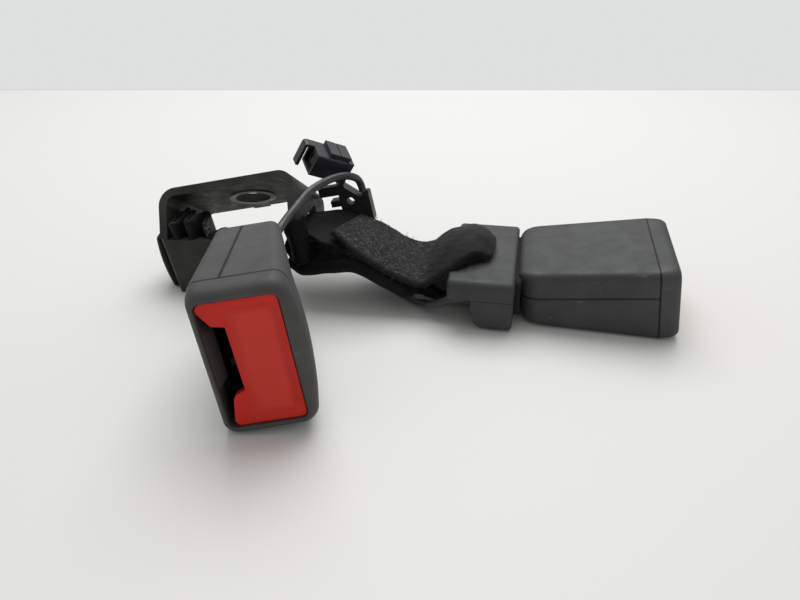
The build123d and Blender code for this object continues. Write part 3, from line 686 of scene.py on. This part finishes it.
# a solid's own mesh, cut finely by planes and then moved by a rule in a housing's frame
def reshape(name, place, body, cuts, move):
    mesh = nodes[name].data.copy()
    turn, middle = housingTurn(place), Vector(housings[place]["place"])
    form = bmesh.new()
    form.from_mesh(mesh)
    bmesh.ops.remove_doubles(form, verts=form.verts, dist=2e-6)
    for axis, levels in cuts:
        normal = turn.col[axis]
        for level in levels:
            parts = form.verts[:] + form.edges[:] + form.faces[:]
            bmesh.ops.bisect_plane(form, geom=parts, dist=1e-7, plane_co=middle + normal * level / 1000,
                                   plane_no=normal)
    form.to_mesh(mesh)
    form.free()
    if "custom_normal" in mesh.attributes:
        mesh.attributes.remove(mesh.attributes["custom_normal"])
    local = np.column_stack(move(*toHousing(meshPoints(mesh), place).T))
    mesh.vertices.foreach_set("co", fromHousing(local, place).astype(np.float32).ravel())
    smoothen(mesh, skins["coverSharp"])
    addPiece(name + "_skin", mesh, body, [name])


def softenHousing(side):
    def move(x, y, z):
        share = np.clip((skins["bezelBack"] - x) / skins["bodyLength"], 0, 1)
        half, middle = (mouth - less * share for mouth, less in (skins["half"], skins["middle"]))
        z = z + swell(side, x, y, z)
        pull = fallBack(skins["tailStart"] - x, skins["tailRadius"])
        y = y - np.sign(y) * pull * (np.abs(y) / half)**2
        z = z - skins["tailDrop"] * pull * ((z - middle) / middle)**3
        return x, y, z
    for part in ("slot_side_cover", "button_side_cover"):
        reshape(side + "_" + part, side, side + "_arm", skins["cuts"], move)


# rounded rectangle, the same count of points on each side and corner whatever its size
def roundedLoop(yLow, yHigh, zLow, zHigh, radius, along=22, corner=9):
    middles = [(yHigh - radius, zHigh - radius), (yLow + radius, zHigh - radius),
               (yLow + radius, zLow + radius), (yHigh - radius, zLow + radius)]
    share = np.linspace(0, 1, along + 2)[1:-1, None]
    loop = []
    for k, (y, z) in enumerate(middles):
        turn = np.radians(np.linspace(90 * k, 90 * k + 90, corner))
        arc = np.column_stack([y + radius * np.cos(turn), z + radius * np.sin(turn)])
        nextY, nextZ = middles[(k + 1) % 4]
        end = np.array([nextY + radius * np.cos(turn[-1]), nextZ + radius * np.sin(turn[-1])])
        loop += [arc, arc[-1] * (1 - share) + end * share]
    return np.vstack(loop)


# a new piece from points in a housing's frame, in millimetres
def addSkin(name, place, points, faces, finish, body, sharp, stands=()):
    mesh = makeMesh(name, fromHousing(points, place), faces, finish)
    smoothen(mesh, sharp)
    addPiece(name, mesh, body, stands)


# a soft ring: loops run from the outside round the rim and back inside the window
def makeBezel(side):
    inner = roundedLoop(*skins["window"])
    loops = []
    for share, x in skins["rows"]:
        t = max(0.0, min(1.0, 1 - x / skins["bezelBack"]))
        half, height, radius = (back + (mouth - back) * t
                                for mouth, back in zip(skins["mouth"], skins["back"]))
        outer = roundedLoop(-half, half, 0.0, height, radius)
        outer[:, 1] += swell(side, x, outer[:, 0], outer[:, 1])
        ring = outer * (1 - share) + inner * share
        loops.append(np.column_stack([np.full(len(ring), x), ring]))
    faces = loopFaces(len(loops), len(inner), joined=True).tolist()
    addSkin(side + "_bezel_skin", side, np.vstack(loops), faces, "bezel" + side.capitalize(),
            side + "_arm", skins["bezelSharp"], [side + "_mouth_bezel"])


# the slot's lead-in: a sloped profile along the slot whose height eases out at both ends
def makeRamp(side):
    outline, count = np.array(skins["ramp"]), skins["rampSteps"]
    floor, (outside, inside) = outline[:, 1].min(), skins["rampEnd"]
    place = np.linspace(*skins["rampSides"], count)
    rise = np.minimum(ease(place, place[0] - outside, place[0] + inside),
                      ease(place, place[-1] + outside, place[-1] - inside))
    height = floor + (outline[None, :, 1] - floor) * rise[:, None]
    depth = np.broadcast_to(outline[:, 0], height.shape)
    points = np.stack([depth, np.broadcast_to(place[:, None], height.shape), height], axis=-1)
    addSkin(side + "_slot_ramp", side, points.reshape(-1, 3), closedFaces(count, len(outline)),
            "bezel" + side.capitalize(), side + "_arm", skins["rampSharp"])


# each spring's joint, and how far it shortens in millimetres, which is the joint's travel
springs = {
    "button_springs": ("button_press", 5.0),
    "ejector_spring": ("ejector_slide", 9.0),
}


# a copy of the coil, carried on its arm in the solid's place
def makeSpring(side, name):
    whole = side + "_" + name
    mesh = nodes[whole].data.copy()
    local = toHousing(meshPoints(mesh), side)
    thing = addPiece(whole + "_coil", mesh, side + "_arm", [whole])
    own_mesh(thing)


# the neck in its own frame and millimetres
neck = {
    "roundStart": -13.0,
    "roundRadius": 17.0,
    "height": 24.4,
    "cuts": [(0, (-29, -28, -27, -26, -25, -24, -22, -20, -18, -16, -13)), (2, (12, 15, 18, 21))],
    # start and stop along X, sides, corner radius and finish of each filling loop
    "fills": {
        "right_neck_fill": (-29.4, -4.0, (-24.5, 24.5, 0.2, 8.0), 1.2, "neck"),
        # a near-black block standing in for the gap's shade: painted shade
        "right_neck_joint": (-3.0, 2.6, (-24.6, 24.6, 2.4, 20.0), 3.0, "joint"),
    },
    "fillPoints": (12, 5),  # along each side and round each corner
    "fillEdge": 0.4,  # the loop is drawn in over this length at its ends
    "fillDrawn": 0.985,
    "fillSharp": 30,
}


def softenNeck():
    def move(x, y, z):
        pull = fallBack(neck["roundStart"] - x, neck["roundRadius"])
        return x, y, z - pull * (np.clip(z, 0, neck["height"]) / neck["height"])**2
    reshape("right_neck_lower", "neck", "right_arm", neck["cuts"], move)


for side in ("left", "right"):
    softenHousing(side)
    makeBezel(side)
    makeRamp(side)
    for name in springs:
        makeSpring(side, name)
softenNeck()
print("housings softened")

# leads: the same route points as the solids', in metres
leads = {
    "diameter": 0.0038,
    "around": 6,
    "steps": 16,
    "left": [(0.01986, -0.06488, 0.00255), (0.01949, -0.05789, 0.00255), (0.0216, -0.0465, 0.0042),
             (0.0264, -0.0345, 0.0079), (0.0310, -0.0236, 0.0112), (0.0380, -0.0140, 0.0130),
             (0.0446, -0.0066, 0.0132), (0.0502, -0.0016, 0.0116), (0.05406, 0.00359, 0.00743),
             (0.05521, 0.00340, 0.00205)],
    "right": [(0.05848, 0.00289, -0.01309), (0.05974, 0.00269, -0.01896), (0.061, -0.004, -0.0295),
              (0.0655, -0.014, -0.0355), (0.071, -0.024, -0.0386), (0.0785, -0.036, -0.0386),
              (0.0845, -0.045, -0.0366), (0.09, -0.0525, -0.0336), (0.09731, -0.05481, -0.02864),
              (0.10371, -0.05596, -0.02864)],
    "length": {"left": 0.0862, "right": 0.0921},
    # on each lead, the last point on the bracket's side and the first on the buckle's side
    "turning": {"left": [(0.0500, -0.0016, 0.0116), (0.0195, -0.0570, 0.0026)],
                "right": [(0.0610, -0.0040, -0.0295), (0.0960, -0.0545, -0.0290)]},
}


# a smooth line through the route, as a mesh: a tube, or its bare centreline
def leadMesh(side, radius):
    curve = bpy.data.curves.new(side + "_lead_line", "CURVE")
    curve.dimensions = "3D"
    curve.bevel_depth = radius
    curve.bevel_resolution = leads["around"]
    curve.resolution_u = leads["steps"]
    spline = curve.splines.new("NURBS")
    points = leads[side]
    spline.points.add(len(points) - 1)
    spline.points.foreach_set("co", [v for p in points for v in (*p, 1.0)])
    spline.order_u = 3
    spline.use_endpoint_u = True
    line = addObject(side + "_lead_line", curve)
    bpy.context.view_layer.update()
    mesh = bpy.data.meshes.new_from_object(line.evaluated_get(bpy.context.evaluated_depsgraph_get()))
    bpy.data.objects.remove(line)
    return mesh


def makeLead(side):
    centre = [tuple(v.co) for v in leadMesh(side, 0.0).vertices]
    mesh = leadMesh(side, leads["diameter"] / 2)
    mesh.name = side + "_lead_sheath"
    smoothen(mesh)
    mesh.materials.clear()
    mesh.materials.append(finishes["lead"])
    thing = addObject(side + "_lead_sheath", mesh)
    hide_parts(side + "_lead")
    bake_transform(thing)


for side in ("left", "right"):
    makeLead(side)
print("leads laid")


# webbing: strips of woven belt laid in the bracket's ear frame, X across the bracket,
# Y its depth and Z its height, in millimetres until they are placed
ears = {
    "yaw": -9.0,
    "tilt": -12.3,
    "barRight": (29.0, -19.0),  # X, Z of the right ear's bar
    "barLeft": (-38.0, -8.5),  # X, Y of the left ear's bar
    "loopRadius": 6.3,
}


def earTurn():
    yaw, tilt = radians(ears["yaw"]), radians(ears["tilt"])
    aboutZ = np.array([[cos(yaw), -sin(yaw), 0], [sin(yaw), cos(yaw), 0], [0, 0, 1]])
    aboutY = np.array([[cos(tilt), 0, sin(tilt)], [0, 1, 0], [-sin(tilt), 0, cos(tilt)]])
    return aboutZ @ aboutY


# points of the ear frame in millimetres, as metres in the shared frame
def fromEar(points):
    return points @ earTurn().T / 1000


# the middle of a node's box, in the ear frame and millimetres
def middleOf(name):
    low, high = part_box(name)
    return (np.array(low) + np.array(high)) / 2 @ earTurn() * 1000


# a Catmull-Rom curve through the points, sampled again at even steps of its length
def throughPoints(points, count, fine=24):
    p = np.array(points, float)
    p = np.vstack([2 * p[0] - p[1], p, 2 * p[-1] - p[-2]])
    a, b, c, d = (q[:, None] for q in (p[:-3], p[1:-2], p[2:-1], p[3:]))
    t = np.linspace(0, 1, fine, endpoint=False)[:, None]
    curve = 0.5 * (2 * b + (c - a) * t + (2 * a - 5 * b + 4 * c - d) * t**2 + (3 * b - a - 3 * c + d) * t**3)
    curve = np.vstack([curve.reshape(-1, p.shape[1]), p[-2]])
    run = np.r_[0, np.cumsum(np.linalg.norm(np.diff(curve, axis=0), axis=1))]
    steps = np.linspace(0, run[-1], count)
    return steps, np.column_stack([np.interp(steps, run, side) for side in curve.T])


# points on a circle from one angle to another, in degrees
def roundPoints(middle, radius, start, stop, count):
    turn = np.radians(np.linspace(start, stop, count))
    return [(middle[0] + radius * np.cos(a), middle[1] + radius * np.sin(a)) for a in turn]


# smooth wandering value between -1 and 1: three sines of unrelated lengths, in millimetres
def wander(a, b, length, seed):
    k = fullTurn / length
    first = np.sin(k * a + 1.7 * seed) * np.cos(0.83 * k * b + seed)
    second = np.sin(1.93 * k * a - 1.1 * k * b + 2.3 * seed)
    third = np.cos(3.1 * k * b + 2.7 * k * a + 0.7 * seed)
    return 0.5 * first + 0.3 * second + 0.2 * third


# how far a section bellies out: a parabola across it
def belly(v):
    return 1 - v * v


# outline of a strip's section: v runs -1 to 1 across it, w is 1 on its face and -1 on its back,
# with half-round edges whose share of the half width is edge
def stripSection(across, edge, rounding=5):
    flat = np.linspace(-1 + edge, 1 - edge, across)
    bend = np.linspace(0, np.pi, rounding + 2)[1:-1]
    v = np.r_[flat, 1 - edge + edge * np.sin(bend), flat[::-1], -1 + edge - edge * np.sin(bend)]
    w = np.r_[np.ones(across), np.cos(bend), -np.ones(across), -np.cos(bend)]
    return v, w


# a strip swept along a path: section points are set off from the path along its normal;
# at each (step, v) lift is how far face and back move together and slide how far along;
# upright strips have the section's width up Z, and the others across Y
def makeStrip(name, path, low, high, thick, finish, body, stands=(), lift=None, slide=None, sewn=None,
              upright=False, across=44):
    steps, line = path
    count = len(steps)
    low, high, thick = (np.broadcast_to(np.asarray(x, float), count) for x in (low, high, thick))
    v, w = stripSection(across, 0.5 * thick.mean() / (0.5 * (high - low).mean()))
    tangent = np.gradient(line, axis=0)
    tangent /= np.linalg.norm(tangent, axis=1)[:, None]
    normal = np.column_stack([-tangent[:, 1], tangent[:, 0]])
    side = (high + low)[:, None] / 2 + (high - low)[:, None] / 2 * v
    off = w * thick[:, None] / 2
    if lift is not None:
        off = off + lift(steps[:, None], v[None, :])
    push = 0.0 if slide is None else slide(steps[:, None], v[None, :])
    first, second = (line[:, [k]] + normal[:, [k]] * off + tangent[:, [k]] * push for k in (0, 1))
    spots = (first, second, side) if upright else (first, side, second)
    points = fromEar(np.stack(spots, axis=-1).reshape(-1, 3))
    mesh = makeMesh(name, points, closedFaces(count, len(v), flip=True), finish)
    corner = np.empty(len(mesh.loops), int)
    mesh.loops.foreach_get("vertex_index", corner)
    along = np.broadcast_to(steps[:, None], side.shape).ravel() / 1000
    sideways = side.ravel() / 1000
    layer = mesh.uv_layers.new(name="along")
    layer.data.foreach_set("uv", np.column_stack([along[corner], sideways[corner]]).ravel())
    share = np.zeros(side.shape) if sewn is None else sewn(steps[:, None], v[None, :])
    mesh.attributes.new("sewn", "FLOAT", "POINT").data.foreach_set("value", share.astype(np.float32).ravel())
    smooth = np.ones(len(mesh.polygons), bool)
    smooth[-2:] = False
    mesh.polygons.foreach_set("use_smooth", smooth)
    addPiece(name, mesh, body, stands)


# the right belt: routes as (X, Z); near, far and thick are profiles over X, in millimetres
rightBelt = {
    "lower": {
        "route": [
            (20.5, -26.2), (27.0, -27.6), (35.0, -28.2), (43.0, -28.6), (49.0, -28.8), (54.5, -30.4),
            (60.0, -34.2), (68.0, -41.2), (76.0, -47.0), (82.5, -51.0), (89.0, -55.2), (97.0, -57.3),
            (108.0, -57.0)],
        "near": (0, (20, 29, -31.5, -37.0), (75, 81, 0, 9.5), (97, 104, 0, -5.0)),
        "far": (0, (42, 58, -3.0, 8.4), (96, 110, 0, -2.0)),
        "thick": (0, (20, 30, 4.0, 7.8), (80, 90, 0, -2.4)),
    },
    "loop": {
        "start": (35.0, -25.8),
        "ring": (268, 92, 15),  # first and last angle, and points
        "route": [(33.5, -13.2), (40.0, -15.6), (48.0, -20.4), (56.0, -26.0), (64.0, -32.4), (72.0, -38.6)],
        "near": (0, (33, 42, -31.5, -34.9)),
        "far": (0, (30, 46, -3.0, 7.9)),
        "thick": 2.4,
    },
    "flap": {
        "route": [
            (49.0, -17.4), (53.0, -20.8), (57.5, -24.6), (64.5, -31.2), (72.5, -37.9), (79.0, -41.6),
            (84.5, -42.3), (90.5, -39.8), (97.5, -36.8), (104.5, -36.6), (110.0, -38.6), (114.2, -42.0)],
        "near": (-36.4, (49, 57, 4.0, 0), (98, 114, 0, 10.0)),
        "far": (8.4, (49, 53, -1.0, 0), (106, 115, 0, -6.0)),
        "thick": (0, (96, 108, 3.1, 7.4)),
        "tilt": (0, (49, 64, -1.6, 0.0), (74, 83, 0.0, 1.3), (95, 102, 0.0, -1.6)),
        "crown": (82, 98, 0.3, 2.2),
        "sewnAlong": (84, 90, 1.0, 0.0),
        "sewnAcross": (-0.95, -0.88),
    },
    "tuck": {
        "route": [(23.4, -27.5), (25.4, -32.8), (28.6, -36.6), (32.5, -35.6), (35.0, -31.0)],
        "low": -25.0,
        "crest": (-10.0, -2.5),
        "thick": 2.2,
    },
}


def makeLower():
    b = rightBelt["lower"]
    bar = middleOf("right_webbing_bar")
    path = throughPoints(b["route"] + [(bar[0] - 13.0, bar[2] - 0.4), (bar[0] - 2.0, bar[2])], 260)
    near, far, thick = (profile(path[1][:, 0], *b[key]) for key in ("near", "far", "thick"))
    makeStrip("right_belt_lower", path, near, far, thick, "webbing", "right_arm", ["right_strap"],
              lift=lambda s, v: 0.35 * wander(s, 20 * v, 31.0, 1.0) + 0.5 * belly(v))


def makeLoop():
    b = rightBelt["loop"]
    ring = roundPoints(ears["barRight"], ears["loopRadius"], *b["ring"])
    path = throughPoints([b["start"]] + ring + b["route"], 170)
    near, far = (profile(path[1][:, 0], *b[key]) for key in ("near", "far"))
    makeStrip("right_belt_loop", path, near, far, b["thick"], "webbing", "right_arm",
              lift=lambda s, v: 0.25 * wander(s, 18 * v, 23.0, 2.0))


# the sewn flap: its cut end runs askew with ragged edges, and its other end is rounded
def makeFlap():
    b = rightBelt["flap"]
    path = throughPoints(b["route"], 300)
    s, x = path[0], path[1][:, 0]
    rag = (0.5 * wander(s, 0 * s, 3.1, 4.0) + 0.3 * wander(s, 0 * s, 1.3, 5.0)) * ease(x, 88, 82)
    near = profile(x, *b["near"]) + 0.7 * rag
    far = profile(x, *b["far"]) - 0.5 * rag[::-1]
    thick = profile(x, *b["thick"])

    def roll(steps, v):
        place = np.interp(steps, s, x)
        wavy = 0.3 * wander(steps, 22 * v, 19.0, 3.0) * ease(place, 51, 58)
        return profile(place, *b["tilt"]) * v + ease(place, *b["crown"]) * belly(v) + wavy

    def sewn(steps, v):
        return ease(np.interp(steps, s, x), *b["sewnAlong"]) * ease(v, *b["sewnAcross"])

    def skew(steps, v):
        place = np.interp(steps, s, x)
        return ease(place, 49, 60, 1.0, 0.0) * (4.2 * v - 0.6) + ease(place, 108, 114.6) * -2.6 * v**4

    makeStrip("right_belt_flap", path, near, far, thick, "beltSewn", "right_arm", lift=roll, slide=skew,
              sewn=sewn, across=80)
    makeFray("right_belt_fray", path, near, far, thick)


fray = {
    "seed": 7,
    "count": 340,
    "along": (0.01, 0.72),
    "nearShare": 0.7,
    "inThickness": (-0.45, 0.5),
    "inside": 0.4,
    "leanAlong": (0, 0.8),
    "leanOut": (0.3, 1.0),
    "leanUp": (0.1, 0.5),
    "reach": (0.5, 1.7),
    "bend": (0, 0.35),
    "shares": [0.0, 0.35, 0.7, 1.0],
    "corners": [90, 210, 330],
    "width": 0.13,
    "taper": [1.0, 0.9, 0.7, 0.3],
}


# loose ends of thread along the sewn part's two long edges: three-sided tapered bristles,
# each point at root + reach * (lean * share + bend * share squared)
def makeFray(name, path, near, far, thick):
    rng = np.random.default_rng(fray["seed"])
    steps, line = path
    count = fray["count"]
    place = rng.uniform(*fray["along"], count) * steps[-1]
    side = np.where(rng.random(count) < fray["nearShare"], -1.0, 1.0)
    x, z = (np.interp(place, steps, line[:, k]) for k in (0, 1))
    y = np.where(side < 0, np.interp(place, steps, near), np.interp(place, steps, far))
    z = z + rng.uniform(*fray["inThickness"], count) * np.interp(place, steps, thick)
    root = np.column_stack([x, y - fray["inside"] * side, z])
    lean = np.column_stack([rng.normal(*fray["leanAlong"], count),
                            side * rng.uniform(*fray["leanOut"], count),
                            rng.normal(*fray["leanUp"], count)])
    reach = rng.uniform(*fray["reach"], count)[:, None, None]
    bend = rng.normal(*fray["bend"], (count, 3))
    share = np.array(fray["shares"])[:, None]
    spine = root[:, None] + reach * (lean[:, None] * share + bend[:, None] * share**2)
    around = np.radians(fray["corners"])
    ring = np.column_stack([np.cos(around), 0 * around, np.sin(around)])
    width = fray["width"] * np.array(fray["taper"])[:, None, None]
    points = fromEar((spine[:, :, None] + width * ring).reshape(-1, 3))
    levels, corners = len(share), len(ring)
    faces = loopFaces(levels, corners, flip=True) + levels * corners * np.arange(count)[:, None, None]
    mesh = makeMesh(name, points, faces.reshape(-1, 4).tolist(), "thread", outward=False)
    addPiece(name, mesh, "right_arm")


def makeTuck():
    b = rightBelt["tuck"]
    path = throughPoints(b["route"], 60)
    crest = ease(path[0], 0, 0.8 * path[0][-1], *b["crest"])
    makeStrip("right_belt_tuck", path, b["low"], crest, b["thick"], "webbing", "bracket", upright=True,
              lift=lambda s, v: 0.8 * belly(v) + 0.3 * wander(s, 12 * v, 11.0, 6.0))


# the left belt, upright: routes as (X, Y), low and top are heights, in millimetres
leftBelt = {
    "folds": {
        "route": [
            (-32.6, -7.0), (-33.4, -14.0), (-33.6, -21.0), (-33.0, -27.0), (-31.6, -28.6), (-30.2, -26.5),
            (-29.6, -20.0), (-28.8, -13.5), (-27.6, -12.0), (-26.4, -14.5), (-26.0, -21.0), (-25.4, -26.4),
            (-24.0, -28.2), (-22.6, -26.0), (-22.0, -20.5), (-21.2, -15.0), (-20.0, -13.5), (-18.8, -15.5),
            (-18.4, -21.0), (-17.6, -25.0), (-16.0, -26.4), (-13.6, -25.6), (-11.2, -23.4), (-9.6, -20.0)],
        "falls": (-24, -10),  # X between which the top falls to the gathered height
        "pale": (0.84, 0.90),  # shares of the length over which the end turns lighter: painted light on the last fold's lit side
        "thick": 2.3,
    },
    "loop": {
        "ring": (-75, 100, 9),
        "slack": [(-44.0, -5.6), (-45.8, -11.0), (-46.2, -17.0), (-45.0, -22.0), (-42.8, -24.0),
                  (-41.4, -21.0), (-39.8, -17.2)],
        "low": -32.4,
        "top": -5.5,
        "thick": 2.4,
        "hollow": ((22, 34), (62, 50)),
    },
    "run": {
        "start": (-9.0, -22.0),
        "rises": (28, 14),  # before the webbing bar, where the top rises again
        "thick": 5.4,
        "bends": (-52.0, -15.0),  # Y, Z of the end point on the buckle's side, passed with the strip
    },
    "low": -33.0,
    "top": 2.2,
    "gathered": -6.5,
}


def makeFolds():
    b, fold = leftBelt, leftBelt["folds"]
    path = throughPoints(fold["route"], 260)
    s, x = path[0], path[1][:, 0]
    fall = ease(x, *fold["falls"], 0.0, b["gathered"] - b["top"])
    top = b["top"] + fall - 0.6 * wander(s, 0 * x, 14.0, 2.0)
    # the end of the folds gets the sewn look, painted light on the last fold's lit side
    start, stop = (share * s[-1] for share in fold["pale"])
    makeStrip("left_belt_folds", path, b["low"], top, fold["thick"], "beltFolds", "bracket",
              ["left_strap_loop"], upright=True, across=40,
              sewn=lambda steps, v: ease(steps, start, stop) * np.ones_like(v))


def makeSlackLoop():
    b = leftBelt["loop"]
    ring = roundPoints(ears["barLeft"], ears["loopRadius"], *b["ring"])
    path = throughPoints(ring + b["slack"] + ring[:1], 140)
    first, second = b["hollow"]
    makeStrip("left_belt_loop", path, b["low"], b["top"], b["thick"], "webbing", "bracket", upright=True,
              across=30, lift=lambda s, v: -1.2 * belly(v) * ease(s, *first) * ease(s, *second))


def makeRun():
    b, run = leftBelt, leftBelt["run"]
    bar = middleOf("left_webbing_bar")
    route = [run["start"], (bar[0] - 3.0, -34.0), (bar[0] - 2.2, bar[1] + 20.0), (bar[0], bar[1] + 12.0),
             (bar[0], bar[1])]
    path = throughPoints(route, 120)
    start, stop = (-bar[1] - before for before in run["rises"])
    top = ease(-path[1][:, 1], start, stop, b["gathered"], b["top"])
    y, z = run["bends"]
    ends = [tuple(fromEar(np.array(p))) for p in ((*run["start"], z), (bar[0] - 2.5, y, z))]
    makeStrip("left_belt_run", path, b["low"], top, run["thick"], "webbing", ("bracket", "left_arm", *ends),
              ["left_strap"], upright=True, across=36)


# the neck's top under the strap's end, and a near-black block of painted shade in the gap between neck and
# housing:
# each is a rounded loop carried along X, drawn in a little at both ends
def makeNeckFills():
    edge, drawn = neck["fillEdge"], neck["fillDrawn"]
    for name, (start, stop, sides, radius, finish) in neck["fills"].items():
        whole = roundedLoop(*sides, radius, *neck["fillPoints"])
        middle = whole.mean(0)
        rows = [(start, drawn), (start + edge, 1.0), (stop - edge, 1.0), (stop, drawn)]
        loops = [np.column_stack([np.full(len(whole), x), middle + (whole - middle) * share])
                 for x, share in rows]
        addSkin(name, "neck", np.vstack(loops), closedFaces(len(rows), len(whole)), finish, "right_arm",
                neck["fillSharp"])


for make in (makeLower, makeLoop, makeFlap, makeTuck, makeFolds, makeSlackLoop, makeRun, makeNeckFills):
    make()
print("belts laid")


# stage: a table top that ends before the wall
def makeTable():
    z, end, half = view["floorHeight"], view["tableEnd"], view["tableHalf"]
    tops = [("table", view["tableNear"], end, z, "tableColour"),
            ("table_lip", end, end + view["lip"], z - view["lipDrop"], "lipColour")]
    for name, near, far, height, colour in tops:
        mesh = bpy.data.meshes.new(name)
        corners = [(-half, near, height), (half, near, height), (half, far, height), (-half, far, height)]
        mesh.from_pydata(corners, [], [(0, 1, 2, 3)])
        mesh.materials.append(newMaterial(name, view[colour], view["tableRough"])[0])
        addObject(name, mesh)


# soft light from above; the camera alone sees the wall's colour in the room's place
def makeLight():
    world = bpy.data.worlds.new("room")
    world.use_nodes = True
    bpy.context.scene.world = world
    tree = world.node_tree
    back = tree.nodes["Background"]
    back.inputs["Color"].default_value = (1, 1, 1, 1)
    back.inputs["Strength"].default_value = view["skyStrength"]
    seen = node(tree, "ShaderNodeBackground", {"Color": (*view["wallColour"], 1), "Strength": 1.0})
    path = node(tree, "ShaderNodeLightPath")
    both = node(tree, "ShaderNodeMixShader")
    for place, source in enumerate((path.outputs["Is Camera Ray"], back.outputs[0], seen.outputs[0])):
        tree.links.new(source, both.inputs[place])
    tree.links.new(both.outputs[0], tree.nodes["World Output"].inputs[0])
    lamp = bpy.data.lights.new("ceiling", "AREA")
    lamp.size = view["lampSize"]
    lamp.energy = view["lampPower"]
    light = addObject("ceiling", lamp)
    light.location = view["lampPlace"]
    light.rotation_euler = view["lampTurn"]


makeTable()
makeLight()
bpy.context.scene.view_settings.view_transform = "Standard"
print("stage set")
